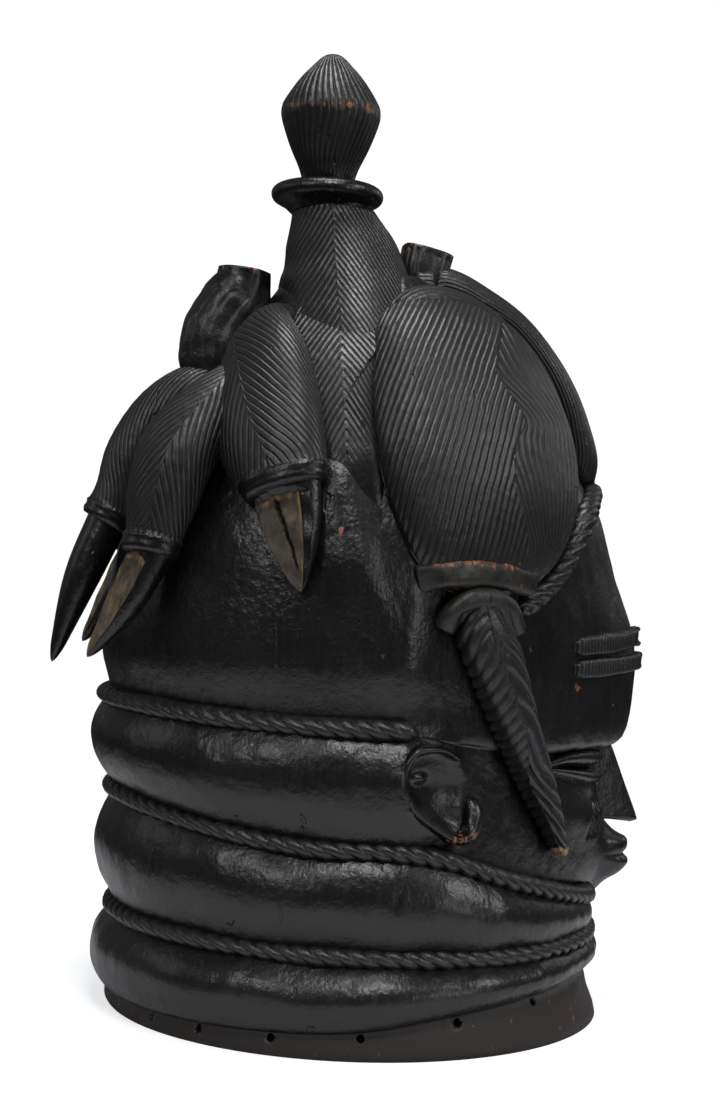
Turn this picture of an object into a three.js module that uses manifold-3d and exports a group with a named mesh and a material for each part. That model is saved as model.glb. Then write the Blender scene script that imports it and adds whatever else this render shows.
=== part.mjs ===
// Helmet mask carved in one piece from a block of wood.
//
// Millimetres, +Z up. The rim stands on Z = 0, the face looks along -Y and X = 0 is the plane
// of symmetry. Places are given as "forward" (towards the face, from the middle of the rim),
// "side" (away from the plane of symmetry) and "up". Nearly every form is carved on both
// sides alike, so a side form is built once and mirrored.

import * as THREE from 'three';
import { ConvexGeometry } from 'three/addons/geometries/ConvexGeometry.js';
import { mergeVertices } from 'three/addons/utils/BufferGeometryUtils.js';
import Module from 'manifold-3d';

const wasm = await Module();
wasm.setup();

// The middle of the rim on the Y axis, which centres the horns and the nose on the origin.
const RIM_CENTRE_Y = -4.1;

// Reach of the plain head at each height, as [up, reach] from the middle of the rim.
const BACK_REACH = [[0, 114.5], [42, 111], [97, 113.5], [139, 118], [160, 123], [200, 119],
  [240, 105], [280, 84], [310, 63], [336, 44]];
const SIDE_REACH = [[0, 111], [42, 102.5], [97, 101], [139, 103], [160, 107], [200, 105], [240, 96],
  [270, 83], [300, 64], [320, 46], [336, 30]];
const NECK_FRONT_REACH = [[0, 115.5], [14, 110], [54, 107.5], [90, 110]];
const FACE_FRONT_REACH = [[50, 116], [66, 119.5], [86, 119], [104, 116.5], [121, 116]];
const BROW_FRONT_REACH = [[119, 126], [126, 130.5], [140, 133.5], [162, 134], [180, 130],
  [200, 122.5], [218, 116.5], [232, 110.5], [248, 100], [264, 94], [286, 83], [302, 71], [316, 57],
  [326, 43], [336, 22]];

// How round the front half is in plan: 2 is an ellipse, less is a pointed arch.
const ROUND_PLAN = 2;
const FACE_PLAN = 1.3;
const CROWN_PLAN = [[119, 1.3], [160, 1.25], [200, 1.35], [250, 1.7], [300, 2]];

// Heights of the lines that part the neck rolls, as [forward, up].
const RIM_TOP = [[-114, 7], [-60, 8.8], [-20, 10.6], [20, 15.5], [60, 19.4], [117, 24]];
const LOW_ROPE = [[-114, 43], [0, 40.5], [117, 39]];
const MIDDLE_ROPE = [[-117, 97], [-80, 90], [-40, 85], [0, 84], [25, 80], [50, 72.5], [80, 64],
  [117, 53.5]];
const BROW_LINE = [[-121, 139], [-80, 136.5], [-40, 135], [10, 134], [50, 128], [85, 122],
  [117, 119.5]];
const LINE_REACH = 118;

// How far the rolls swell out at the sides and back, and below the chin. The middle roll
// flattens where it is lower than its full height.
const ROLL_SWELL = 11;
const ROLL_SWELL_IN_FRONT = 7;
const ROLL_FULL_HEIGHT = 34;
const ROLL_FULLNESS = 0.75;
const ROLL_STEPS = [0.17, 0.5, 0.83];
const FACE_STEPS = [0.13, 0.36, 0.6, 0.85];
const CROWN_TOP = 336;
const CROWN_STEPS = 6;
const HEAD_SEGMENTS = 36;

// The wall is thicker under the hair, between these two heights.
const WALL = 15;
const WALL_UNDER_HAIR = 23;
const WALL_THICKENS = [120, 250];
const CAVITY_TOP = 278;
const CAVITY_FRONT_REACH = [[0, 115], [40, 112], [70, 104], [120, 106], [170, 118], [278, 118]];
const CAVITY_PLAN = [[30, 2], [70, 1.6], [200, 1.6], [260, 2]];
const CAVITY_SEGMENTS = 16;
const CAVITY_STEPS = 6;

// Small holes through the rim, for lacing on a fringe.
const LACING_HOLE = 3.4;
const LACING_DROP = 1.9;
const LACING_ANGLES = [26.7, 53.3, 75.5, 97.2, 116.1, 133.3, 147.8, 164];

// Twisted ropes in the grooves between the rolls. Each strand is a knob with a hollow after it.
const ROPE_STAND = 6.6;
const ROPE_HOLLOW = 2.4;
const ROPE_LEAN = 1.6;
const ROPE_HALF_HEIGHT = 3.6;
const STRANDS_PER_SEGMENT = 1.5;
// The highest rope runs round the back only: it ends behind each ear, at this forward place.
const HIGH_ROPE_END = 16;

// Crest, collar and finial: round forms on one upright axis.
const CREST_AXIS = -27;
const CREST = [[-14, 0, 296, 46, 37], [-16, 0, 320, 38, 33.5], [-19, 0, 340, 30, 28.5],
  [-22, 0, 354, 24, 24], [-24, 0, 364, 20, 19.8], [-24.5, 0, 369, 18.5, 18.5]];
const COLLAR_PROFILE = [[365, 17], [369, 22], [371, 25.4], [373.5, 26.2], [376, 25.2], [378, 21],
  [379.5, 11.5]];
const FINIAL_PROFILE = [[378, 11.5], [386, 14], [397, 19], [408, 22.8], [416, 22.4], [427, 15.6],
  [435, 8.5], [440, 0]];
const FINIAL_FLUTES = 10;
const FLUTE_DEPTH = 1.2;

// Combed lobe over each temple, as an outline of [forward, up] points on the head.
const TEMPLE_OUTLINE = [[-11, 308], [6, 326], [32, 326], [55, 309], [73, 282], [83, 249], [80, 226],
  [69, 205], [50, 193], [24, 191], [6, 199], [-8, 224], [-15, 250], [-16, 280]];
const TEMPLE_MIDDLE = [30, 258];
const TEMPLE_HEIGHT = 15;

// Tongue of the crest that runs down each side between the lobes.
const TONGUE_OUTLINE = [[-40, 320], [-20, 336], [0, 318], [-10, 296], [-15, 262], [-12, 232],
  [-16, 206], [-25, 190], [-34, 206], [-41, 236], [-46, 270], [-48, 300]];
const TONGUE_MIDDLE = [-27, 268];
const TONGUE_HEIGHT = 7;
const TONGUE_FADE = [205, 300];

// How far a pad reaches into the head, and how square its edge is.
const PAD_DEPTH = 9;
const PAD_EDGE = 3;

// Tubes, as stations of [forward, side, up, half width, half depth]; the depth points outwards.
const PARTING_ROLL = [[14, 0, 333, 15, 11], [30, 0, 333, 17, 11], [47, 0, 325, 20, 11],
  [62, 0, 315, 22, 11], [75, 0, 301, 23, 11], [86, 0, 285, 22, 11], [93, 0, 270, 20, 11],
  [98, 0, 255, 17, 11], [100, 0, 244, 12, 8]];
const SIDE_HORN = [[-50, 22, 308, 13, 6], [-60, 38, 298, 22, 12], [-61, 60, 279, 27, 15],
  [-58.5, 77, 257, 26, 15], [-54, 88, 240, 21, 13], [-52.5, 91.5, 231, 17, 11.5]];
const SIDE_HORN_TIP = [[-53, 91, 236, 16, 8], [-49, 98, 211, 11, 6.5], [-46, 103, 190.5, 2, 2]];
const BACK_HORN = [[-66, 42, 284, 12, 9], [-80, 52, 268, 17, 14], [-95, 60, 248, 19, 16],
  [-101, 63, 228, 17, 15], [-104, 64, 212, 14, 12], [-106, 65, 203, 13, 11]];
const BACK_HORN_TIP = [[-104, 65, 207, 10.5, 9.5], [-116, 64, 182, 9, 7.5],
  [-130, 61, 158.5, 2, 2]];
const MIDDLE_HORN = [[-72, 0, 282, 14, 12], [-86, 0, 278, 17, 13], [-99, 0, 267, 17, 14],
  [-110, 0, 248, 16, 14.5], [-115, 0, 231, 15, 13.5], [-123, 0, 216, 13, 11.5]];
const MIDDLE_HORN_TIP = [[-121, 0, 220, 10.5, 9.5], [-133, 0, 190, 9.5, 8], [-144.5, 0, 152, 2, 2]];
const BACK_STUB = [[-72, 0, 280, 14, 17], [-73, 0, 300, 15, 21], [-68, 0, 319, 15, 18],
  [-64.5, 0, 331, 13.5, 13.5], [-64, 0, 336, 13, 12.5]];
const FRONT_STUB = [[19, 0, 328, 12, 11], [20, 0, 342, 13, 12], [22, 0, 351, 12, 12]];
const PLAIT = [[31, 97, 188, 13, 9], [34.5, 97, 173, 13, 10], [40, 93.5, 162, 13, 10],
  [50, 84, 141.5, 11.5, 9.5], [63.5, 69, 117, 9.8, 8.5], [74, 60, 98, 7.5, 7],
  [81, 54.5, 83.5, 5, 5], [86, 49, 75.5, 2.5, 3]];
const PLAIT_STEPS = 10;
const PLAIT_RELIEF = 0.07;
const TEMPLE_BAND = [[4, 100, 198, 6, 6], [14, 105, 200, 6, 6], [28, 101, 201, 6, 6],
  [42, 92, 200, 6, 6], [55, 80, 198, 6, 6]];
const TEMPLE_ROLL = [[15, 101, 178, 4.6, 4.6], [19, 105, 187, 4.6, 4.6], [31, 102.5, 191, 4.6, 4.6],
  [43, 95, 187, 4.6, 4.6], [49, 87, 178, 4.6, 4.6]];

// Knobbed band along the hairline, as [forward, up], from temple to temple.
const HAIRLINE = [[52, 186], [63, 192.6], [72, 199.5], [80, 209.5], [86, 218.5], [92, 228],
  [105, 241]];
const HAIRLINE_RADIUS = 5.2;
const HAIRLINE_STAND = 1;
const HAIRLINE_PITCH = 18;

// Two bands of raised scars across the brow, as [height at the middle, at the ends, half height].
const SCAR_BANDS = [[173.5, 169.5, 4.6], [161.8, 159.5, 4.4]];
const SCAR_ANGLE = 0.7;
const SCAR_STAND = 1.9;

const NOSE = [[122.5, 2.6, 121], [114, 6, 116], [114, 11, 88], [121, 9.5, 86.4], [137.6, 4.5, 84.6],
  [138, 2.5, 87.4], [112, 9, 90]];
const MUZZLE = [[96, 0, 71, 32, 19], [112, 0, 71, 24, 16], [121, 0, 71, 17, 12],
  [127, 0, 71, 12.5, 9], [129.5, 0, 70.5, 9, 6]];
const UPPER_LIP = [[119, 16, 71, 2, 2], [127, 9.5, 73.5, 3, 3], [130, 0, 74.6, 3.2, 3.2]];
const LOWER_LIP = [[118, 15, 69, 2, 2], [127, 8.5, 65.6, 2.8, 3], [130, 0, 64.6, 3, 3]];
const CHIN = [[112, 0, 60, 17, 8], [118, 0, 58.5, 13, 6.5], [123, 0, 58.5, 8, 4]];
// Eyelids, as [side, up, half height, stand] on the face.
const UPPER_LID = [[9, 113.5, 1.5, 1], [20, 117, 4.2, 4.4], [33, 117.5, 4.8, 5],
  [45, 116, 3.8, 4.2], [56, 112, 1.5, 1]];
const LOWER_LID = [[9, 111.5, 1.5, 1], [20, 108, 3, 3.6], [33, 107, 3.4, 4.2], [45, 107.6, 3, 3.4],
  [56, 111, 1.5, 1]];
const EAR_RIM = [[24, 90.5, 123, 2.4, 4], [14, 100, 127.5, 2.8, 6], [3, 105, 126, 3, 6.2],
  [-1.5, 106, 115, 3, 6.2], [3, 105.5, 104, 3, 6.2], [14, 101.5, 95, 3, 6.5], [25, 93, 89, 3.2, 6],
  [32, 88.5, 91, 3.6, 5], [34.5, 86, 98, 3.8, 4.5], [33, 84.5, 105, 3, 3]];
const EAR_HOLLOW = [[12, 104, 119, 7, 6], [12, 103.5, 109, 8, 7], [20, 98, 100, 6, 6]];

function mix(a, b, share) {
  return a + (b - a) * share;
}

function smoothStep(low, high, value) {
  const share = Math.min(1, Math.max(0, (value - low) / (high - low)));
  return share * share * (3 - 2 * share);
}

// Value of a table of [place, value] pairs, smooth between its rows and level past its ends.
function along(table, place) {
  const last = table.length - 1;
  if (place <= table[0][0]) return table[0][1];
  if (place >= table[last][0]) return table[last][1];
  let row = 0;
  while (place > table[row + 1][0]) row += 1;
  const [x0, y0] = table[row];
  const [x1, y1] = table[row + 1];
  const before = row > 0 ? table[row - 1] : table[row];
  const after = row + 2 <= last ? table[row + 2] : table[row + 1];
  const width = x1 - x0;
  const slope0 = (y1 - before[1]) / (x1 - before[0]) * width;
  const slope1 = (after[1] - y0) / (after[0] - x0) * width;
  const t = (place - x0) / width;
  return (2 * t ** 3 - 3 * t ** 2 + 1) * y0 + (t ** 3 - 2 * t ** 2 + t) * slope0
    + (3 * t ** 2 - 2 * t ** 3) * y1 + (t ** 3 - t ** 2) * slope1;
}

function place(forward, side, up) {
  return new THREE.Vector3(side, RIM_CENTRE_Y - forward, up);
}

// Closed body from rings of points, with a point at each end. The rings run from the low end
// to the high end, anticlockwise as seen from the high end. One ring may hold a whole number
// of times as many points as the next.
function loft(rings, lowEnd, highEnd) {
  const points = [lowEnd, ...rings.flat(), highEnd];
  const top = points.length - 1;
  const faces = [];
  const capLow = rings[0].length;
  for (let i = 0; i < capLow; i += 1) faces.push(0, 1 + (i + 1) % capLow, 1 + i);
  let low = 1;
  for (let ring = 0; ring + 1 < rings.length; ring += 1) {
    const lowCount = rings[ring].length;
    const highCount = rings[ring + 1].length;
    stitch(faces, low, lowCount, low + lowCount, highCount);
    low += lowCount;
  }
  const capHigh = rings[rings.length - 1].length;
  for (let i = 0; i < capHigh; i += 1) faces.push(top, low + i, low + (i + 1) % capHigh);
  const geometry = new THREE.BufferGeometry().setFromPoints(points);
  geometry.setIndex(faces);
  return geometry;
}

// Strip of triangles between two rings, given by their first points and their counts.
function stitch(faces, low, lowCount, high, highCount) {
  const lowSteps = Math.max(1, lowCount / highCount);
  const highSteps = Math.max(1, highCount / lowCount);
  for (let i = 0; i < Math.min(lowCount, highCount); i += 1) {
    const lowStart = i * lowSteps;
    const highStart = i * highSteps;
    for (let k = 0; k < lowSteps; k += 1) {
      faces.push(low + lowStart + k, low + (lowStart + k + 1) % lowCount, high + highStart);
    }
    const lowNext = low + (lowStart + lowSteps) % lowCount;
    for (let k = 0; k < highSteps; k += 1) {
      faces.push(lowNext, high + (highStart + k + 1) % highCount, high + highStart + k);
    }
  }
}

function mirrored(geometry) {
  const copy = geometry.clone().applyMatrix4(new THREE.Matrix4().makeScale(-1, 1, 1));
  const faces = copy.getIndex();
  for (let i = 0; i < faces.count; i += 3) {
    const second = faces.getX(i + 1);
    faces.setX(i + 1, faces.getX(i + 2));
    faces.setX(i + 2, second);
  }
  return copy;
}

function solid(geometry) {
  let source = geometry.clone();
  source.deleteAttribute('normal');
  source.deleteAttribute('uv');
  source = mergeVertices(source, 1e-4);
  const mesh = new wasm.Mesh({
    numProp: 3,
    vertProperties: new Float32Array(source.getAttribute('position').array),
    triVerts: new Uint32Array(source.getIndex().array),
  });
  return new wasm.Manifold(mesh);
}

// Reach of the plain head in each direction at one height, and the roundness of its front.
function headPlan(up, zone) {
  const frontTable = { neck: NECK_FRONT_REACH, face: FACE_FRONT_REACH, crown: BROW_FRONT_REACH }[zone];
  const plan = { neck: ROUND_PLAN, face: FACE_PLAN, crown: along(CROWN_PLAN, up) }[zone];
  return {
    front: along(frontTable, up),
    back: along(BACK_REACH, up),
    side: along(SIDE_REACH, up),
    plan,
  };
}

// Point of a plan at an angle from 0, straight ahead, round by the side to PI, straight back.
function planPoint({ front, back, side, plan }, angle, up, grow = 0) {
  const ahead = Math.cos(angle);
  const across = Math.sin(angle);
  const power = ahead > 0 ? 2 / plan : 1;
  const reach = (ahead > 0 ? front : back) + grow;
  const forward = Math.sign(ahead) * reach * Math.abs(ahead) ** power;
  const outward = Math.sign(across) * (side + grow) * Math.abs(across) ** power;
  return place(forward, outward, up);
}

// Side reach of the crown at a point given by its forward place and height.
function crownSide(forward, up) {
  const { front, back, side, plan } = headPlan(up, 'crown');
  const power = forward > 0 ? plan : 2;
  const share = Math.min(1, Math.abs(forward) / (forward > 0 ? front : back));
  return side * (1 - share ** power) ** (1 / power);
}

// The rope lines are nearly level, so their height is read at the plan's own forward place.
function lineHeight(line, angle) {
  return along(line, Math.cos(angle) * LINE_REACH);
}

function headRing(heightAt, zone, growAt, segments = HEAD_SEGMENTS) {
  return Array.from({ length: segments }, (_, i) => {
    const angle = i / segments * 2 * Math.PI;
    const up = heightAt(angle, i);
    return planPoint(headPlan(up, zone), angle, up, growAt(angle, i));
  });
}

// Low edge, knobbed ridge and high edge of a rope that lies in a groove. The ridge has twice
// as many points as strands, in turn a knob that leans down and a hollow that leans up.
function ropeRings(line, zone, lowZone = zone, shareAt = () => 1) {
  const edge = (side, edgeZone) => headRing(
    (angle) => lineHeight(line, angle) + side * ROPE_HALF_HEIGHT, edgeZone, () => 0);
  const ridge = headRing(
    (angle, i) => lineHeight(line, angle) + (i % 2 ? ROPE_LEAN : -ROPE_LEAN) * shareAt(angle),
    zone,
    (angle, i) => (i % 2 ? ROPE_HOLLOW : ROPE_STAND) * shareAt(angle),
    HEAD_SEGMENTS * STRANDS_PER_SEGMENT * 2,
  );
  return [edge(-1, lowZone), ridge, edge(1, zone)];
}

function rollRings(lowLine, highLine, steps, zone, swellAt) {
  return steps.map((share) => headRing(
    (angle) => mix(lineHeight(lowLine, angle), lineHeight(highLine, angle), share),
    zone,
    (angle) => swellAt(angle) * Math.sin(Math.PI * share) ** ROLL_FULLNESS,
  ));
}

// Outer form of neck, face and crown, without hair and features.
function headSolid() {
  const none = () => 0;
  const lowSwell = (angle) => mix(ROLL_SWELL, ROLL_SWELL_IN_FRONT, smoothStep(0, 1, Math.cos(angle)));
  const middleSwell = (angle) => ROLL_SWELL
    * Math.min(1, (lineHeight(MIDDLE_ROPE, angle) - lineHeight(LOW_ROPE, angle)) / ROLL_FULL_HEIGHT);
  const upperSwell = (angle) => ROLL_SWELL * (1 - smoothStep(-0.05, 0.5, Math.cos(angle)));
  const highRopeShare = (angle) => (Math.cos(angle) * LINE_REACH < HIGH_ROPE_END ? 1 : 0);
  const rings = [
    headRing(none, 'neck', none),
    headRing((angle) => lineHeight(RIM_TOP, angle), 'neck', none),
    ...rollRings(RIM_TOP, LOW_ROPE, ROLL_STEPS, 'neck', lowSwell),
    ...ropeRings(LOW_ROPE, 'neck'),
    ...rollRings(LOW_ROPE, MIDDLE_ROPE, ROLL_STEPS, 'neck', middleSwell),
    ...ropeRings(MIDDLE_ROPE, 'neck'),
    ...rollRings(MIDDLE_ROPE, BROW_LINE, FACE_STEPS, 'face', upperSwell),
    ...ropeRings(BROW_LINE, 'crown', 'face', highRopeShare),
  ];
  for (let step = 1; step <= CROWN_STEPS; step += 1) {
    const share = (step / CROWN_STEPS) ** 0.9;
    rings.push(headRing((angle) => mix(lineHeight(BROW_LINE, angle), CROWN_TOP, share), 'crown', none));
  }
  return solid(loft(rings, place(0, 0, 0), place(-8, 0, CROWN_TOP + 4)));
}

// Space for the wearer's head, open at the rim.
function cavitySolid() {
  const rings = [];
  for (let step = 0; step <= CAVITY_STEPS; step += 1) {
    const share = step / CAVITY_STEPS;
    const up = mix(-3, CAVITY_TOP, Math.sin(share * Math.PI / 2));
    const plan = headPlan(Math.max(0, up), up < CROWN_PLAN[0][0] ? 'neck' : 'crown');
    const front = Math.min(plan.front, along(CAVITY_FRONT_REACH, up));
    const inside = { ...plan, front, plan: along(CAVITY_PLAN, up) };
    const shrink = -mix(WALL, WALL_UNDER_HAIR, smoothStep(...WALL_THICKENS, up));
    rings.push(Array.from({ length: CAVITY_SEGMENTS }, (_, i) => (
      planPoint(inside, i / CAVITY_SEGMENTS * 2 * Math.PI, up, shrink))));
  }
  return solid(loft(rings, place(0, 0, -3), place(0, 0, CAVITY_TOP + 6)));
}

function lathe(profile, axisForward, segments, reliefAt = () => 0) {
  const rings = profile.filter(([, radius]) => radius > 0).map(([up, radius]) => (
    Array.from({ length: segments }, (_, i) => {
      const angle = i / segments * 2 * Math.PI;
      const reach = radius + reliefAt(i, up);
      return place(axisForward + reach * Math.cos(angle), reach * Math.sin(angle), up);
    })));
  const low = place(axisForward, 0, profile[0][0]);
  const high = place(axisForward, 0, profile[profile.length - 1][0]);
  return solid(loft(rings, low, high));
}

// Pad on the side of the crown: an outline of [forward, up] points, swelling to a height that
// may differ with the height above the rim.
function pad({ outline, middle, heightAt, segments }) {
  const corners = outline.map(([forward, up]) => new THREE.Vector3(forward, up, 0));
  const border = new THREE.CatmullRomCurve3(corners, true, 'centripetal');
  const edge = border.getSpacedPoints(segments).slice(0, segments);
  const onHead = (forward, up) => place(forward, crownSide(forward, up), up);
  const point = (forward, up, rise) => {
    const here = onHead(forward, up);
    const slopeForward = onHead(forward + 1, up).sub(onHead(forward - 1, up));
    const slopeUp = onHead(forward, up + 1).sub(onHead(forward, up - 1));
    const outward = slopeForward.cross(slopeUp).normalize();
    if (outward.x < 0) outward.negate();
    return here.addScaledVector(outward, rise);
  };
  const ringAt = (share, rise) => edge.map((corner) => {
    const up = mix(middle[1], corner.y, share);
    return point(mix(middle[0], corner.x, share), up, rise > 0 ? rise * heightAt(up) : rise * PAD_DEPTH);
  });
  const rings = [ringAt(0.97, -1), ringAt(1, 0)];
  for (const share of [0.92, 0.72, 0.4]) {
    rings.push(ringAt(share, (1 - share ** PAD_EDGE) ** 0.5));
  }
  const [forward, up] = middle;
  return loft(rings, point(forward, up, -PAD_DEPTH), point(forward, up, heightAt(up)));
}

// Sizes of a tube at a share of its length, from one column of its stations.
function stationSize(stations, column, share) {
  return along(stations.map((row, i) => [i / (stations.length - 1), row[column]]), share);
}

// Tube along stations. Its depth points away from the head's axis, or along a given direction.
function tube(stations, { sides = 8, steps = 8, depthAlong = null, reliefAt = () => 0 } = {}) {
  const points = stations.map(([forward, side, up]) => place(forward, side, up));
  const spine = new THREE.CatmullRomCurve3(points, false, 'centripetal');
  const rings = [];
  for (let step = 0; step <= steps; step += 1) {
    const share = step / steps;
    const centre = spine.getPoint(share);
    const ahead = spine.getTangent(share);
    const fromAxis = new THREE.Vector3(centre.x, centre.y - RIM_CENTRE_Y, 0);
    const outward = depthAlong ? depthAlong.clone() : fromAxis;
    outward.addScaledVector(ahead, -outward.dot(ahead)).normalize();
    const across = new THREE.Vector3().crossVectors(ahead, outward);
    rings.push(Array.from({ length: sides }, (_, i) => {
      const angle = i / sides * 2 * Math.PI;
      const grow = 1 + reliefAt(step, i);
      return centre.clone()
        .addScaledVector(outward, Math.sin(angle) * stationSize(stations, 4, share) * grow)
        .addScaledVector(across, -Math.cos(angle) * stationSize(stations, 3, share) * grow);
    }));
  }
  return loft(rings, spine.getPoint(0), spine.getPoint(1));
}

// Round form from one side to the other: the stations of one side, then the same mirrored.
function acrossFace(stations) {
  const [middle, ...others] = [...stations].reverse();
  const other = others.map(([forward, side, up, ...size]) => [forward, -side, up, ...size]);
  return [...stations.slice(0, -1), middle, ...other];
}

// Twisted band through points: a square section that turns a quarter in each pitch.
function twisted(points, radius, pitch) {
  const spine = new THREE.CatmullRomCurve3(points, false, 'centripetal');
  const count = Math.round(spine.getLength() / pitch);
  const stops = spine.getSpacedPoints(count);
  const rings = stops.map((centre, step) => {
    const ahead = spine.getTangentAt(step / count);
    const outward = new THREE.Vector3(centre.x, centre.y - RIM_CENTRE_Y, 0);
    outward.addScaledVector(ahead, -outward.dot(ahead)).normalize();
    const across = new THREE.Vector3().crossVectors(ahead, outward);
    return Array.from({ length: 4 }, (_, i) => {
      const angle = (i + step) * Math.PI / 2;
      return centre.clone()
        .addScaledVector(outward, Math.sin(angle) * radius)
        .addScaledVector(across, -Math.cos(angle) * radius);
    });
  });
  return loft(rings, stops[0], stops[count]);
}

function hairlineBand() {
  const half = HAIRLINE.map(([forward, up]) => {
    const side = crownSide(forward, up);
    const reach = Math.hypot(forward, side);
    const stand = (reach + HAIRLINE_STAND) / reach;
    return [forward * stand, side * stand, up];
  });
  const middle = half.pop();
  const points = [
    ...half.map(([forward, side, up]) => place(forward, side, up)),
    place(middle[0], 0, middle[2]),
    ...[...half].reverse().map(([forward, side, up]) => place(forward, -side, up)),
  ];
  return twisted(points, HAIRLINE_RADIUS, HAIRLINE_PITCH);
}

function eyelid(stations) {
  return tube(stations.map(([side, up, halfHeight, stand]) => {
    const { front, side: reach, plan } = headPlan(up, 'face');
    return [front * (1 - (side / reach) ** plan) ** (1 / plan), side, up, halfHeight, stand];
  }), { sides: 5, steps: 4 });
}

function scarBand([middleHeight, endHeight, halfHeight]) {
  const count = 5;
  const stations = Array.from({ length: count + 1 }, (_, i) => {
    const angle = mix(SCAR_ANGLE, -SCAR_ANGLE, i / count);
    const up = mix(middleHeight, endHeight, Math.abs(angle) / SCAR_ANGLE);
    const point = planPoint(headPlan(up, 'crown'), angle, up, 0);
    return [RIM_CENTRE_Y - point.y, point.x, up, halfHeight, SCAR_STAND];
  });
  return tube(stations, { sides: 4, steps: count });
}

function noseGeometry() {
  return new ConvexGeometry(NOSE.flatMap(([forward, side, up]) => [
    place(forward, side, up), place(forward, -side, up)]));
}

function lacingHole(degrees) {
  const angle = degrees * Math.PI / 180;
  const up = lineHeight(RIM_TOP, angle) - LACING_DROP;
  const outside = planPoint(headPlan(up, 'neck'), angle, up, 14);
  const inside = planPoint(headPlan(up, 'neck'), angle, up, -WALL - 10);
  const path = new THREE.LineCurve3(inside, outside);
  const section = new THREE.Shape();
  section.absarc(0, 0, LACING_HOLE / 2, 0, 2 * Math.PI);
  return new THREE.ExtrudeGeometry(section, { extrudePath: path, steps: 1, curveSegments: 3 });
}

function plait() {
  // The strands lean opposite ways on the two halves of the face that shows.
  const half = (i) => Math.floor(Math.abs(i - 1.5));
  const chevron = (step, i) => ((step + half(i)) % 2 ? PLAIT_RELIEF : -PLAIT_RELIEF);
  return tube(PLAIT, { sides: 6, steps: PLAIT_STEPS, reliefAt: chevron });
}

const UPWARD = new THREE.Vector3(0, 0, 1);
const AHEAD = new THREE.Vector3(0, -1, 0);

// Forms on the plane of symmetry, forms of one side that are repeated on the other, and cuts.
const middleForms = [
  tube(CREST, { sides: 12, steps: 4, depthAlong: AHEAD }),
  tube(PARTING_ROLL, { sides: 7, steps: 8 }),
  tube(MIDDLE_HORN, { sides: 8, steps: 6 }),
  tube(MIDDLE_HORN_TIP, { sides: 6, steps: 3 }),
  tube(BACK_STUB, { sides: 8, steps: 4 }),
  tube(FRONT_STUB, { sides: 6, steps: 1 }),
  tube(MUZZLE, { sides: 9, steps: 4, depthAlong: UPWARD }),
  tube(CHIN, { sides: 8, steps: 3, depthAlong: UPWARD }),
  tube(acrossFace(UPPER_LIP), { sides: 5, steps: 4 }),
  tube(acrossFace(LOWER_LIP), { sides: 5, steps: 4 }),
  noseGeometry(),
  hairlineBand(),
  ...SCAR_BANDS.map(scarBand),
];
const sideForms = [
  pad({ outline: TEMPLE_OUTLINE, middle: TEMPLE_MIDDLE, heightAt: () => TEMPLE_HEIGHT, segments: 18 }),
  pad({
    outline: TONGUE_OUTLINE,
    middle: TONGUE_MIDDLE,
    heightAt: (up) => TONGUE_HEIGHT * smoothStep(...TONGUE_FADE, up),
    segments: 12,
  }),
  tube(SIDE_HORN, { sides: 8, steps: 6 }),
  tube(SIDE_HORN_TIP, { sides: 6, steps: 3 }),
  tube(BACK_HORN, { sides: 8, steps: 6 }),
  tube(BACK_HORN_TIP, { sides: 6, steps: 3 }),
  tube(TEMPLE_BAND, { sides: 5, steps: 5 }),
  tube(TEMPLE_ROLL, { sides: 5, steps: 6 }),
  eyelid(UPPER_LID),
  eyelid(LOWER_LID),
  tube(EAR_RIM, { sides: 4, steps: 7 }),
  plait(),
];
const lathed = [
  lathe(COLLAR_PROFILE, CREST_AXIS, 16),
  lathe(FINIAL_PROFILE, CREST_AXIS, 2 * FINIAL_FLUTES, (i) => (i % 2 ? -FLUTE_DEPTH : 0)),
];

const bothSides = sideForms.flatMap((form) => [form, mirrored(form)]);
const earHollow = tube(EAR_HOLLOW, { sides: 5, steps: 2 });
const cuts = [
  earHollow,
  mirrored(earHollow),
  ...[0, 180, ...LACING_ANGLES, ...LACING_ANGLES.map((angle) => -angle)].map(lacingHole),
].map(solid);

const joined = [...middleForms, ...bothSides].map(solid).concat(lathed)
  .reduce((whole, form) => whole.add(form), headSolid());
const object = [cavitySolid(), ...cuts].reduce((whole, cut) => whole.subtract(cut), joined);

function geometryOf(manifold) {
  const { vertProperties, triVerts } = manifold.getMesh();
  const geometry = new THREE.BufferGeometry();
  geometry.setAttribute('position', new THREE.BufferAttribute(new Float32Array(vertProperties), 3));
  geometry.setIndex(new THREE.BufferAttribute(new Uint32Array(triVerts), 1));
  return geometry;
}

const wood = new THREE.MeshStandardMaterial({ color: 0x1d1b1a, roughness: 0.45, metalness: 0 });
const mask = new THREE.Mesh(geometryOf(object), wood);
mask.name = 'helmet_mask';
const group = new THREE.Group();
group.add(mask);
export default group;
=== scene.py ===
"""Carved helmet mask: the fine surface and the finish around the part's solid."""
import logging
import math
from dataclasses import dataclass, field, replace
from enum import Enum
from typing import Any, Callable, Optional, Sequence

import bpy
import numpy as np
from mathutils import Matrix, Vector


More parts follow.
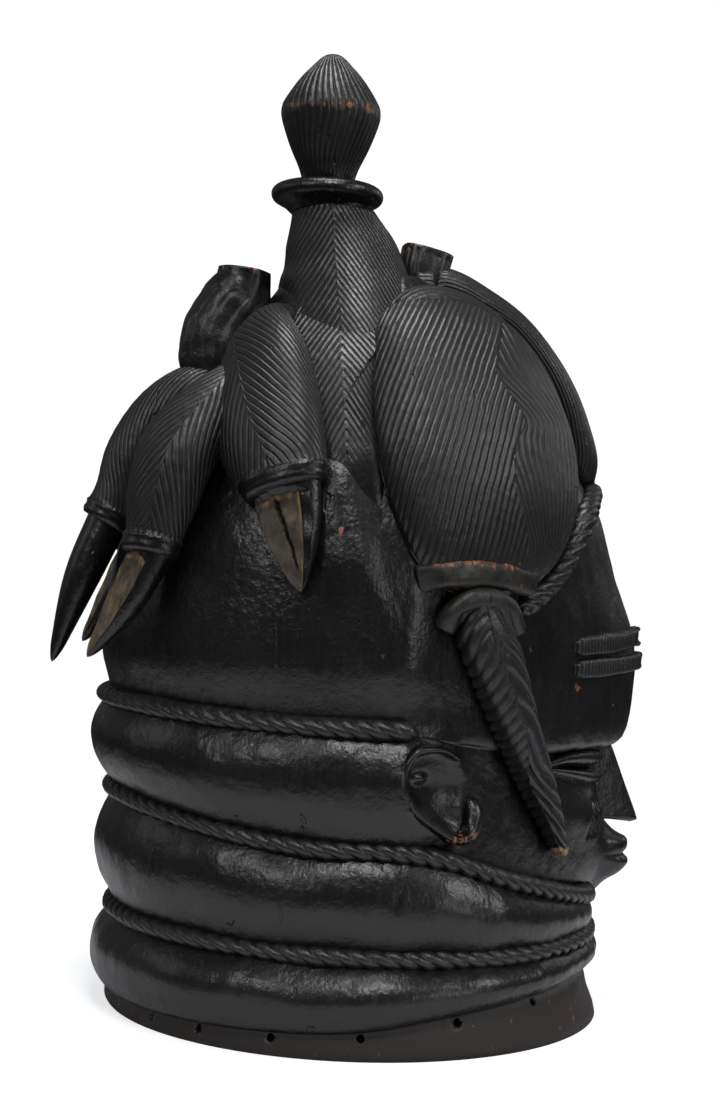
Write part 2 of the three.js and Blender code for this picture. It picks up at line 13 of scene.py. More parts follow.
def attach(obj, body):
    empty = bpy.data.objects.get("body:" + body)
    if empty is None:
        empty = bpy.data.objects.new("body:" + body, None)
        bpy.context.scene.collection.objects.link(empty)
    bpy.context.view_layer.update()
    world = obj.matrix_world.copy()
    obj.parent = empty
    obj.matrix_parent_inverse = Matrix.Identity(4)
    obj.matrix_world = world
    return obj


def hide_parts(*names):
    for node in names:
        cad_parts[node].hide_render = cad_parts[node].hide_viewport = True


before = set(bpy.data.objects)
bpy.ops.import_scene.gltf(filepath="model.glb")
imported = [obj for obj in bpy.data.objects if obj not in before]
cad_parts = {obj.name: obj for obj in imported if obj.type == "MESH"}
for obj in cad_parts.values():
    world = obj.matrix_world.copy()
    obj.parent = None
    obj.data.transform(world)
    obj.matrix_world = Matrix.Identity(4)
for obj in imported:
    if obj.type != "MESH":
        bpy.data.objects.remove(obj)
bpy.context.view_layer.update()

BODY = "root"
NODE = "helmet_mask"
MM = 0.001
TURN = 2 * math.pi

# The middle of the rim on the Y axis, in millimetres.
RIM_CENTRE_Y = -4.1
# A cut's depth in metres times this is how combed the finish takes the surface to be, up to 1.
CUTS_TO_SHARE = 1400.0
# Places along a path at which its length is measured.
PATH_SAMPLES = 1200

Array = np.ndarray
Table = Sequence[Sequence[float]]
Marks = dict[str, Array]
Triple = tuple[float, float, float]
Socket = bpy.types.NodeSocket
log = logging.getLogger("mask")


# Small maths

def smooth_step(low: float, high: float, value: Any) -> Array:
    """Share from 0 at low to 1 at high, level at both ends."""
    share = np.clip((np.asarray(value, float) - low) / (high - low), 0, 1)
    return share * share * (3 - 2 * share)


def mix(first: Any, second: Any, share: Any) -> Any:
    """Value between two others."""
    return first + (second - first) * share


def bell(value: Any, middle: float, width: float) -> Array:
    """Smooth bump of height 1 around a middle."""
    return np.exp(-((np.asarray(value, float) - middle) / width) ** 2)


def between(low: float, risen: float, falling: float, high: float, value: Any) -> Array:
    """Share that rises from low to risen and falls again from falling to high."""
    return smooth_step(low, risen, value) * (1 - smooth_step(falling, high, value))


def rounded(value: Array, power: float) -> Array:
    """Power of a value's size, with the value's sign."""
    return np.sign(value) * np.abs(value) ** power


def along(table: Table, where: Any) -> Array:
    """Value of a table of [place, value] rows, smooth between rows and level past its ends.

    Args:
        table: rows of place and value, rising in place.
        where: places to read.

    Returns:
        The values there.
    """
    rows = np.asarray(table, float)
    xs, ys = rows[:, 0], rows[:, 1]
    last = len(xs) - 1
    where = np.clip(np.asarray(where, float), xs[0], xs[-1])
    row = np.clip(np.searchsorted(xs, where, side="right") - 1, 0, last - 1)
    before = np.maximum(row - 1, 0)
    after = np.minimum(row + 2, last)
    x0, x1, y0, y1 = xs[row], xs[row + 1], ys[row], ys[row + 1]
    width = x1 - x0
    slope0 = (y1 - ys[before]) / (x1 - xs[before]) * width
    slope1 = (ys[after] - y0) / (xs[after] - x0) * width
    t = (where - x0) / width
    return ((2 * t**3 - 3 * t**2 + 1) * y0 + (t**3 - 2 * t**2 + t) * slope0
            + (3 * t**2 - 2 * t**3) * y1 + (t**3 - t**2) * slope1)


def place(forward: Any, side: Any, up: Any) -> Array:
    """Points from their forward, side and up places, in millimetres."""
    forward = RIM_CENTRE_Y - np.asarray(forward, float)
    return np.stack(np.broadcast_arrays(np.asarray(side, float), forward, np.asarray(up, float)), -1)


def forward_of(points: Array) -> Array:
    """How far forward points are, in millimetres."""
    return RIM_CENTRE_Y - points[..., 1]


def unit(vectors: Array) -> Array:
    """Vectors made one long."""
    return vectors / np.maximum(np.linalg.norm(vectors, axis=-1, keepdims=True), 1e-9)


def outwards(points: Array, upward: float = 0) -> Array:
    """Directions away from the head's upright axis, with a share of the height."""
    return unit((points - [0, RIM_CENTRE_Y, 0]) * [1, 1, upward])


def square_to(ahead: Array, outward: Array) -> Array:
    """Outward directions turned square to the directions ahead."""
    return unit(outward - ahead * (outward * ahead).sum(-1, keepdims=True))


def rings_round(centres: Array, outward: Array, across: Array, out: Array, off: Array) -> Array:
    """Ring of points round each centre, from their reach outward and sideways."""
    return centres[:, None] + outward[:, None] * out[..., None] - across[:, None] * off[..., None]


def travelled_along(points: Array) -> Array:
    """Distance along a path up to each of its points."""
    return np.concatenate([[0], np.cumsum(np.linalg.norm(np.diff(points, axis=0), axis=1))])


def spine(points: Array, shares: Array) -> Array:
    """Smooth path through points, as a centripetal Catmull-Rom curve.

    Args:
        points: the points the path goes through.
        shares: places along it, from 0 to 1.

    Returns:
        One point for each share.
    """
    full = np.vstack([2 * points[0] - points[1], points, 2 * points[-1] - points[-2]])
    steps = np.maximum(np.linalg.norm(np.diff(full, axis=0), axis=1) ** 0.5, 1e-4)
    where = np.asarray(shares, float) * (len(points) - 1)
    k = np.clip(np.floor(where).astype(int), 0, len(points) - 2)
    t = (where - k)[:, None]
    p0, p1, p2, p3 = full[k], full[k + 1], full[k + 2], full[k + 3]
    d0, d1, d2 = steps[k][:, None], steps[k + 1][:, None], steps[k + 2][:, None]
    m1 = ((p1 - p0) / d0 - (p2 - p0) / (d0 + d1) + (p2 - p1) / d1) * d1
    m2 = ((p2 - p1) / d1 - (p3 - p1) / (d1 + d2) + (p3 - p2) / d2) * d1
    return (p1 + m1 * t + (3 * (p2 - p1) - 2 * m1 - m2) * t**2
            + (2 * (p1 - p2) + m1 + m2) * t**3)


def waves(points: Array, size: float, seed: int) -> Array:
    """Smooth uneven field of about -1 to 1, the same on each run.

    Args:
        points: where to read it, in millimetres.
        size: rough distance between its hills, in millimetres.
        seed: number that picks the field.

    Returns:
        One value for each point.
    """
    count = 14
    draw = np.random.default_rng(seed)
    ways = unit(draw.normal(size=(count, 3))) * TURN / (size * draw.uniform(1.0, 2.6, (count, 1)))
    starts = draw.uniform(0, TURN, count)
    return np.sin(points @ ways.T + starts).sum(-1) / math.sqrt(count)


# Surfaces under construction

def placed(name: str, data: bpy.types.ID) -> bpy.types.Object:
    """New object of the scene, at the origin.

    Args:
        name: name of the object.
        data: what the object shows.

    Returns:
        The object.
    """
    thing = bpy.data.objects.new(name, data)
    bpy.context.scene.collection.objects.link(thing)
    return thing


def keep_result(thing: bpy.types.Object) -> None:
    """Turn what an object's modifiers make into its plain mesh.

    Args:
        thing: the object.
    """
    graph = bpy.context.evaluated_depsgraph_get()
    mesh = bpy.data.meshes.new_from_object(
        thing.evaluated_get(graph), preserve_all_data_layers=True, depsgraph=graph)
    thing.modifiers.clear()
    old, thing.data = thing.data, mesh
    bpy.data.meshes.remove(old)
    mesh.name = thing.name


class Surface:
    """Closed surface in millimetres, with named numbers on its points."""

    def __init__(self, points: Array, quads: Array, triangles: Array, marks: Optional[Marks] = None) -> None:
        """Keep the points, the faces and the marks.

        Args:
            points: places of the points, in millimetres.
            quads: corners of the four-sided faces.
            triangles: corners of the three-sided faces.
            marks: numbers on the points, by name.
        """
        self.points = points
        self.quads = quads
        self.triangles = triangles
        self.marks = marks or {}

    @classmethod
    def loft(cls, rings: Array, marks: Optional[Marks] = None, endless: bool = False) -> "Surface":
        """Skin over a stack of rings, closed with a point at each end unless it is endless.

        Args:
            rings: rows of points, from the low end to the high end, anticlockwise as seen
                from the high end.
            marks: numbers on the points of the rings, by name.
            endless: whether the last ring runs on into the first.

        Returns:
            The closed surface.
        """
        rows, columns = rings.shape[:2]
        ids = np.arange(rows * columns).reshape(rows, columns)
        after = np.roll(ids, -1, axis=1)
        if endless:
            quads = np.stack([ids, after, np.roll(after, -1, 0), np.roll(ids, -1, 0)], -1).reshape(-1, 4)
            flat = {name: value.ravel() for name, value in (marks or {}).items()}
            return cls(rings.reshape(-1, 3), quads, np.zeros((0, 3), int), flat)
        quads = np.stack([ids[:-1], after[:-1], after[1:], ids[1:]], -1).reshape(-1, 4)
        low, high = rows * columns, rows * columns + 1
        low_fan = np.stack([np.full(columns, low), after[0], ids[0]], -1)
        high_fan = np.stack([np.full(columns, high), ids[-1], after[-1]], -1)
        ends = np.stack([rings[0].mean(0), rings[-1].mean(0)])
        points = np.vstack([rings.reshape(-1, 3), ends])
        full = {name: np.append(value.reshape(-1), [value[0].mean(), value[-1].mean()])
                for name, value in (marks or {}).items()}
        return cls(points, quads, np.vstack([low_fan, high_fan]), full)

    def mark(self, **values: Any) -> "Surface":
        """Give the points named numbers, each the same all over or one for each point.

        Args:
            values: the numbers, by name.

        Returns:
            The surface itself.
        """
        for name, value in values.items():
            self.marks[name] = value * np.ones(len(self.points))
        return self

    def mirrored(self) -> "Surface":
        """The same surface on the other side of the plane of symmetry."""
        points = self.points * [-1, 1, 1]
        return Surface(points, self.quads[:, ::-1], self.triangles[:, ::-1], dict(self.marks))

    def doubled(self) -> "Surface":
        """This surface and its twin on the other side, as one."""
        return Surface.joined(self, self.mirrored())

    @staticmethod
    def joined(*surfaces: "Surface") -> "Surface":
        """Several surfaces as one, with the marks that any of them has.

        Args:
            surfaces: the surfaces.

        Returns:
            The joined surface.
        """
        names = sorted({name for one in surfaces for name in one.marks})
        starts = np.cumsum([0] + [len(one.points) for one in surfaces])
        marks = {name: np.concatenate([one.marks.get(name, np.zeros(len(one.points))) for one in surfaces])
                 for name in names}
        quads, triangles = (np.vstack([getattr(one, faces) + start for one, start in zip(surfaces, starts)])
                            for faces in ("quads", "triangles"))
        return Surface(np.vstack([one.points for one in surfaces]), quads, triangles, marks)

    def thing(self, name: str) -> bpy.types.Object:
        """Blender object of this surface, in metres, with its marks as attributes.

        Args:
            name: name of the object.

        Returns:
            The object.
        """
        mesh = bpy.data.meshes.new(name)
        sizes = np.concatenate([np.full(len(self.quads), 4), np.full(len(self.triangles), 3)])
        corners = np.concatenate([self.quads.reshape(-1), self.triangles.reshape(-1)])
        mesh.vertices.add(len(self.points))
        mesh.vertices.foreach_set("co", (self.points * MM).astype(np.float32).ravel())
        mesh.loops.add(len(corners))
        mesh.loops.foreach_set("vertex_index", corners.astype(np.int32))
        mesh.polygons.add(len(sizes))
        mesh.polygons.foreach_set("loop_start", (np.cumsum(sizes) - sizes).astype(np.int32))
        mesh.polygons.foreach_set("loop_total", sizes.astype(np.int32))
        mesh.polygons.foreach_set("use_smooth", np.ones(len(sizes), bool))
        mesh.update(calc_edges=True)
        for mark, values in self.marks.items():
            attribute = mesh.attributes.new(mark, "FLOAT", "POINT")
            attribute.data.foreach_set("value", np.asarray(values, np.float32))
        return placed(name, mesh)


@dataclass(frozen=True)
class Strokes:
    """Comb strokes cut into a form, which lean away from a parting on both sides of it.

    Attributes:
        pitch: distance between cuts, in millimetres.
        depth: depth of a cut, in millimetres.
        lean: angle between a stroke and the form's length, in degrees.
        parting: angle round the form at which the strokes part, in degrees; 90 faces outwards.
        shares: the places along the form where the strokes begin and end.
        end_parting: the parting's angle in the lower half, if it differs.
        front_lean: the lean in front of the parting, if it differs.
    """

    pitch: float
    depth: float
    lean: float
    parting: float = 90.0
    shares: tuple[float, float] = (0.0, 1.0)
    end_parting: Optional[float] = None
    front_lean: Optional[float] = None

    def marks(self, up: Array, around: Array, fade: Array) -> Marks:
        """Marks that the carving reads: the count of strokes up to a point, and the cut's depth.

        Args:
            up: distance along the form, in millimetres, rising upwards.
            around: distance from the parting, in millimetres.
            fade: share of the full depth at each point.

        Returns:
            The marks by name.
        """
        behind, before = (math.radians(lean) for lean in (self.lean, self.front_lean or self.lean))
        lean = np.where(around > 0, before, behind)
        count = (up * np.sin(lean) + np.abs(around) * np.cos(lean)) / self.pitch
        seam = 0.35 + 0.65 * smooth_step(0, 0.5, np.abs(around))
        return {"stroke": count, "cut": self.depth * MM * fade * seam}


@dataclass(frozen=True)
class Tube:
    """Form swept along stations of forward, side, up, half width and half depth.

    Attributes:
        stations: the rows of the table, from the root to the end.
        sides: points round the form.
        steps: rings along it.
        depth_along: direction of the depth; away from the head's upright axis if not given.
        closing: share of the length over which the end is rounded off.
        strokes: comb strokes cut into it.
        squareness: 2 for an oval section, more for a squarer one.
        shape: changes the section's outward and sideways shares at each share of the length,
            and gives marks.
    """

    stations: Table
    sides: int = 24
    steps: int = 24
    depth_along: Optional[Triple] = None
    closing: float = 0.0
    strokes: Optional[Strokes] = None
    squareness: float = 2.0
    shape: Optional[Callable[[Array, Array, Array], tuple[Array, Array, Marks]]] = None

    def frames(self) -> tuple[Array, Array, Array, Array]:
        """Centres, outward and across directions, and shares along the tube.

        Returns:
            The centres, both directions and the shares.
        """
        rows = np.asarray(self.stations, float)
        points = place(rows[:, 0], rows[:, 1], rows[:, 2])
        dense = np.linspace(0, 1, PATH_SAMPLES)
        travelled = travelled_along(spine(points, dense))
        shares = np.interp(np.linspace(0, travelled[-1], self.steps + 1), travelled, dense)
        centres = spine(points, shares)
        before, after = (spine(points, np.clip(shares + step, 0, 1)) for step in (-1e-3, 1e-3))
        ahead = unit(after - before)
        depth_along = outwards(centres) if self.depth_along is None else np.asarray(self.depth_along, float)
        outward = square_to(ahead, depth_along)
        return centres, outward, np.cross(ahead, outward), shares

    def surface(self) -> Surface:
        """Closed surface of the tube, with the marks of its strokes.

        Returns:
            The surface.
        """
        rows = np.asarray(self.stations, float)
        centres, outward, across, shares = self.frames()
        places = np.linspace(0, 1, len(rows))
        width, depth = (along(np.stack([places, rows[:, size]], -1), shares) for size in (3, 4))
        if self.closing:
            end = np.clip((shares - 1 + self.closing) / self.closing, 0, 0.995)
            width, depth = width * np.sqrt(1 - end**2), depth * np.sqrt(1 - end**2)
        angle = np.linspace(0, TURN, self.sides, endpoint=False)
        grid = np.ones((len(shares), 1))
        out, off = (rounded(way(angle), 2 / self.squareness) * grid for way in (np.sin, np.cos))
        marks = {}
        if self.shape:
            out, off, marks = self.shape(out, off, shares[:, None] * np.ones_like(out))
        if self.strokes:
            marks = {**marks, **self.stroke_marks(centres, shares, width, depth, angle)}
        return Surface.loft(
            rings_round(centres, outward, across, out * depth[:, None], off * width[:, None]), marks)

    def stroke_marks(self, centres: Array, shares: Array, width: Array, depth: Array, angle: Array) -> Marks:
        """Stroke marks on the rings of the tube.

        Args:
            centres: middles of the rings.
            shares: places along the tube, from 0 to 1.
            width: half width at each ring.
            depth: half depth at each ring.
            angle: angles round the tube.

        Returns:
            The marks by name.
        """
        travelled = travelled_along(centres)
        up = (travelled[-1] - travelled)[:, None] * np.ones(len(angle))
        first, last = self.strokes.parting, self.strokes.end_parting
        parting = mix(first, first if last is None else last, smooth_step(0.42, 0.6, shares)[:, None])
        turn = (angle - np.radians(parting) + math.pi) % TURN - math.pi
        around = turn * ((width + depth) / 2)[:, None]
        first, last = self.strokes.shares
        fade = between(first - 0.02, first + 0.03, last - 0.03, last, shares)
        return self.strokes.marks(up, around, fade[:, None])


# Form of the plain head

class Zone(Enum):
    """Part of the head, which picks its front reach and its roundness."""

    NECK = "neck"
    FACE = "face"
    CROWN = "crown"


@dataclass(frozen=True)
class HeadForm:
    """Reach of the plain head in each direction, and the lines that part its rolls."""

    back: Table = ((0, 114.5), (42, 111), (97, 113.5), (139, 118), (160, 123), (200, 119), (240, 105),
                   (280, 84), (310, 63), (336, 44))
    side: Table = ((0, 111), (42, 102.5), (97, 101), (139, 103), (160, 107), (200, 105), (240, 96),
                   (270, 83), (300, 64), (320, 46), (336, 30))
    neck_front: Table = ((0, 115.5), (14, 110), (54, 107.5), (90, 110))
    face_front: Table = ((50, 116), (66, 119.5), (86, 119), (104, 116.5), (121, 116))
    brow_front: Table = ((119, 126), (126, 130.5), (140, 133.5), (162, 134), (180, 130), (200, 122.5),
                         (218, 116.5), (232, 110.5), (248, 100), (264, 94), (286, 83), (302, 71),
                         (316, 57), (326, 43), (336, 22))
    crown_plan: Table = ((119, 1.3), (160, 1.25), (200, 1.35), (250, 1.7), (300, 2))
    face_plan: float = 1.3
    rim_top: Table = ((-114, 7), (-60, 8.8), (-20, 10.6), (20, 15.5), (60, 19.4), (117, 24))
    low_rope: Table = ((-114, 43), (0, 40.5), (117, 39))
    middle_rope: Table = ((-117, 97), (-80, 90), (-40, 85), (0, 84), (25, 80), (50, 72.5), (80, 64),
                          (117, 53.5))
    brow_line: Table = ((-121, 139), (-80, 136.5), (-40, 135), (10, 134), (50, 128), (85, 122),
                        (117, 119.5))
    line_reach: float = 118
    crown_top: float = 336

    def reach(self, up: Array, zone: Zone) -> tuple[Array, Array, Array, Array]:
        """Front, back and side reach at a height, and the roundness of the front.

        Args:
            up: heights.
            zone: part of the head.

        Returns:
            The three reaches and the roundness.
        """
        fronts = {Zone.NECK: self.neck_front, Zone.FACE: self.face_front, Zone.CROWN: self.brow_front}
        plan = along(self.crown_plan, up)
        if zone is not Zone.CROWN:
            plan = np.full_like(plan, 2.0 if zone is Zone.NECK else self.face_plan)
        return along(fronts[zone], up), along(self.back, up), along(self.side, up), plan

    def point(self, angle: Array, up: Array, zone: Zone, grow: Any = 0.0) -> Array:
        """Point of the head at an angle from straight ahead round by the side, and a height."""
        front, back, side, plan = self.reach(up, zone)
        return self.plan_point(angle, up, front + grow, back + grow, side + grow, plan)

    @staticmethod
    def plan_point(angle: Array, up: Array, front: Array, back: Array, side: Array, plan: Array) -> Array:
        """Point of an oval plan whose front half may be pointed.

        Args:
            angle: angles round the head.
            up: heights.
            front: reach to the front.
            back: reach to the back.
            side: reach to each side.
            plan: roundness of the front half.

        Returns:
            The points.
        """
        ahead, across = np.cos(angle), np.sin(angle)
        power = np.where(ahead > 0, 2 / plan, 1.0)
        forward = np.where(ahead > 0, front, back) * rounded(ahead, power)
        return place(forward, side * rounded(across, power), up)

    def crown_side(self, forward: Array, up: Array) -> Array:
        """Side reach of the crown at a forward place and a height.

        Args:
            forward: forward places.
            up: heights.

        Returns:
            The side reach.
        """
        front, back, side, plan = self.reach(up, Zone.CROWN)
        power = np.where(forward > 0, plan, 2.0)
        share = np.clip(np.abs(forward) / np.where(forward > 0, front, back), 0, 1)
        return side * (1 - share**power) ** (1 / power)

    def face_forward(self, side: Array, up: Array) -> Array:
        """Forward place of the face at a side place and a height."""
        front, _, reach, plan = self.reach(up, Zone.FACE)
        return front * (1 - (side / reach) ** plan) ** (1 / plan)

    def line(self, table: Table, angle: Array) -> Array:
        """Height of a parting line at an angle round the head."""
        return along(table, np.cos(angle) * self.line_reach)

    def on_crown(self, forward: Array, up: Array, rise: Array) -> Array:
        """Point at a height above the crown's surface, square to it.

        Args:
            forward: forward places.
            up: heights.
            rise: distance above the surface.

        Returns:
            The points.
        """
        def here(ahead: Array, high: Array) -> Array:
            """Point of the crown's surface at a forward place and a height."""
            return place(ahead, self.crown_side(ahead, high), high)

        outward = np.cross(here(forward + 1, up) - here(forward - 1, up),
                           here(forward, up + 1) - here(forward, up - 1))
        outward = unit(outward * np.where(outward[..., :1] < 0, -1, 1))
        return here(forward, up) + outward * np.asarray(rise)[..., None]


FORM = HeadForm()


# Nodes

class Value:
    """Number socket: arithmetic on it adds Math nodes."""

    def __init__(self, bench: "Bench", socket: Socket) -> None:
        """Keep the bench that adds nodes, and the socket."""
        self.bench = bench
        self.socket = socket

    def math(self, operation: str, *others: Any) -> "Value":
        """Result of a Math node on this value and others."""
        return self.bench.value("ShaderNodeMath", {"operation": operation}, [self, *others])

    def __add__(self, other: Any) -> "Value":
        """Sum."""
        return self.math("ADD", other)

    __radd__ = __add__

    def __sub__(self, other: Any) -> "Value":
        """Difference."""
        return self.math("SUBTRACT", other)

    def __rsub__(self, other: Any) -> "Value":
        """Difference from a plain number."""
        return self.bench.number(other).math("SUBTRACT", self)

    def __mul__(self, other: Any) -> "Value":
        """Product."""
        return self.math("MULTIPLY", other)

    __rmul__ = __mul__

    def __pow__(self, other: Any) -> "Value":
        """Power."""
        return self.math("POWER", other)

    def size(self) -> "Value":
        """Size without its sign."""
        return self.math("ABSOLUTE")

    def step(self, low: float, high: float) -> "Value":
        """Share from 0 at low to 1 at high, level at both ends."""
        return self.bench.value("ShaderNodeMapRange", {"interpolation_type": "SMOOTHSTEP"},
                                {"Value": self, "From Min": low, "From Max": high})


class Bench:
    """Adds nodes to one tree."""

    def __init__(self, tree: bpy.types.NodeTree) -> None:
        """Keep the tree."""
        self.tree = tree

    def add(self, kind: str, settings: Optional[dict[str, Any]] = None, inputs: Any = None) -> bpy.types.Node:
        """Add one node.

        Args:
            kind: the node's type.
            settings: its settings, set first.
            inputs: values or links, as a list in the order of its sockets or by socket name.

        Returns:
            The node.
        """
        node = self.tree.nodes.new(kind)
        for name, value in (settings or {}).items():
            setattr(node, name, value)
        shown = [socket for socket in node.inputs if socket.enabled]
        pairs = inputs.items() if isinstance(inputs, dict) else enumerate(inputs or [])
        for key, value in pairs:
            socket = shown[key] if isinstance(key, int) else next(s for s in shown if s.name == key)
            if isinstance(value, Value):
                value = value.socket
            if isinstance(value, Socket):
                self.tree.links.new(value, socket)
            else:
                socket.default_value = value
        return node

    def out(self, kind: str, settings: Optional[dict[str, Any]] = None, inputs: Any = None,
            name: Optional[str] = None) -> Socket:
        """First shown output, or the named one, of a new node."""
        node = self.add(kind, settings, inputs)
        return next(s for s in node.outputs if s.enabled and (name is None or s.name == name))

    def value(self, *request: Any) -> Value:
        """Output of a new node as a value, asked for as with out."""
        return Value(self, self.out(*request))

    def number(self, value: float) -> Value:
        """Plain number as a value."""
        return self.value("ShaderNodeMath", {"operation": "ADD"}, [value, 0.0])

    def mark(self, name: str) -> Value:
        """Named number on the surface, for a shader."""
        return self.value("ShaderNodeAttribute", {"attribute_name": name}, None, "Fac")

    def here(self, upright: float = 1.0) -> Socket:
        """Place on the object, with its height multiplied by a number.

        Args:
            upright: number that the height is multiplied by.

        Returns:
            The place.
        """
        where = self.out("ShaderNodeTexCoord", None, None, "Object")
        if upright == 1:
            return where
        return self.out("ShaderNodeVectorMath", {"operation": "MULTIPLY"}, [where, (1.0, 1.0, upright)])

    def blend(self, share: Any, first: Any, second: Any) -> Socket:
        """Colour between two colours, each a link or a triple of numbers.

        Args:
            share: share of the second colour.
            first: colour at share 0.
            second: colour at share 1.

        Returns:
            The colour.
        """
        first, second = (each + (1,) if isinstance(each, tuple) else each for each in (first, second))
        return self.out("ShaderNodeMix", {"data_type": "RGBA", "clamp_factor": True},
                        {"Factor": share, "A": first, "B": second})

    def noise(self, where: Socket, scale: float, detail: float = 3.0, rough: float = 0.5) -> Value:
        """Noise of 0 to 1 at a place."""
        return self.value("ShaderNodeTexNoise", None,
                          {"Vector": where, "Scale": scale, "Detail": detail, "Roughness": rough})

    def spots(self, where: Socket, scale: float, inner: float, outer: float) -> Value:
        """Share from 1 within a distance of scattered places to 0 beyond a larger one."""
        return 1 - self.value(
            "ShaderNodeTexVoronoi", None, {"Vector": where, "Scale": scale}, "Distance").step(inner, outer)

    def seen(self) -> Value:
        """1 where a surface is seen directly, 0 where it lights or reflects."""
        return self.value("ShaderNodeLightPath", None, None, "Is Camera Ray")

    def end(self, kind: str, output: str, inputs: dict[str, Any]) -> None:
        """Close a shader tree with one shader and its output."""
        shader = self.add(kind, None, inputs)
        self.add(output, None, {"Surface": shader.outputs[0]})

    def close(self, colour: Socket, rough: Value, bump: dict[str, Any], **others: float) -> None:
        """End a material's tree in an uneven surface.

        Args:
            colour: its colour.
            rough: its roughness.
            bump: strength, distance and height of the unevenness, by socket name.
            others: further values of the shader, by socket name with lines for spaces.
        """
        inputs = {name.replace("_", " "): value for name, value in others.items()}
        normal = self.out("ShaderNodeBump", None, bump, "Normal")
        self.end("ShaderNodeBsdfPrincipled", "ShaderNodeOutputMaterial",
                 {"Base Color": colour, "Roughness": rough, "Normal": normal, **inputs})


def blank(owner: bpy.types.ID) -> Bench:
    """Bench for the emptied tree of a material or of the surroundings.

    Args:
        owner: the material or the surroundings.

    Returns:
        The bench.
    """
    owner.use_nodes = True
    owner.node_tree.nodes.clear()
    return Bench(owner.node_tree)


class Recipe:
    """Geometry Nodes tree with named inputs, applied to objects one at a time."""

    def __init__(self, name: str, sizes: dict[str, float]) -> None:
        """Make the tree with its number inputs and a material input.

        Args:
            name: name of the tree.
            sizes: its number inputs and their values, by name.
        """
        self.tree = bpy.data.node_groups.new(name, "GeometryNodeTree")
        self.bench = Bench(self.tree)
        new = self.tree.interface.new_socket
        new("Geometry", in_out="INPUT", socket_type="NodeSocketGeometry")
        for label, value in sizes.items():
            new(label, in_out="INPUT", socket_type="NodeSocketFloat").default_value = value
        new("Finish", in_out="INPUT", socket_type="NodeSocketMaterial")
        new("Geometry", in_out="OUTPUT", socket_type="NodeSocketGeometry")
        self.inputs = self.bench.add("NodeGroupInput")

    def given(self, label: str) -> Value:
        """One of the tree's number inputs."""
        return Value(self.bench, self.inputs.outputs[label])

    def close(self, geometry: Socket) -> None:
        """End the tree in plain, smooth geometry with its finish.

        Args:
            geometry: what the tree has made.
        """
        for kind in ("GeometryNodeRealizeInstances", "GeometryNodeSetShadeSmooth"):
            geometry = self.bench.out(kind, None, {"Geometry": geometry})
        dressed = self.bench.out("GeometryNodeSetMaterial", None,
                                 {"Geometry": geometry, "Material": self.inputs.outputs["Finish"]})
        self.bench.add("NodeGroupOutput", None, {"Geometry": dressed})

    def apply(self, thing: bpy.types.Object, finish: bpy.types.Material, **sizes: float) -> None:
        """Run the tree on an object and keep the result as its plain mesh.

        Args:
            thing: the object.
            finish: material of the result.
            sizes: values of the tree's number inputs, by name.
        """
        modifier = thing.modifiers.new(self.tree.name, "NODES")
        modifier.node_group = self.tree
        sockets = {item.name: item.identifier for item in self.tree.interface.items_tree
                   if item.in_out == "INPUT"}
        modifier[sockets["Finish"]] = finish
        for label, value in sizes.items():
            modifier[sockets[label.capitalize()]] = float(value)
        keep_result(thing)


def stroke_recipe() -> Recipe:
    """Tree that sinks comb strokes along a surface's stroke marks.

    Returns:
        The recipe, with the inputs Sharpness, Tilt, Unevenness and Waver.
    """
    recipe = Recipe("combed strokes", {"Sharpness": 0.45, "Tilt": 0.3, "Unevenness": 0.5, "Waver": 0.1})
    bench = recipe.bench
    here = bench.out("GeometryNodeInputPosition")
    stroke, cut = (bench.value("GeometryNodeInputNamedAttribute", {"data_type": "FLOAT"}, {"Name": name})
                   for name in ("stroke", "cut"))
    waver = (bench.noise(here, 45.0, 1.0) - 0.5) * recipe.given("Waver") * 6.0
    uneven = 1 - bench.noise(here, 160.0, 2.0) * recipe.given("Unevenness")
    phase = stroke + waver
    share = phase.math("FRACT")
    ridge = (share * math.pi).math("SINE").size() ** recipe.given("Sharpness")
    groove = 1 - ridge * (1 - share * recipe.given("Tilt"))
    sunk = groove * cut * uneven * -1.0
    way = bench.out("GeometryNodeInputNormal")
    offset = bench.out("ShaderNodeVectorMath", {"operation": "SCALE"}, {"Vector": way, "Scale": sunk})
    geometry = bench.out("GeometryNodeSetPosition", None,
                         {"Geometry": recipe.inputs.outputs["Geometry"], "Offset": offset})
    for name, value in (("phase", phase), ("combed", (cut * CUTS_TO_SHARE).math("MINIMUM", 1.0))):
        geometry = bench.out("GeometryNodeStoreNamedAttribute", {"data_type": "FLOAT", "domain": "POINT"},
                             {"Geometry": geometry, "Name": name, "Value": value})
    recipe.close(geometry)
    return recipe


# Finishes

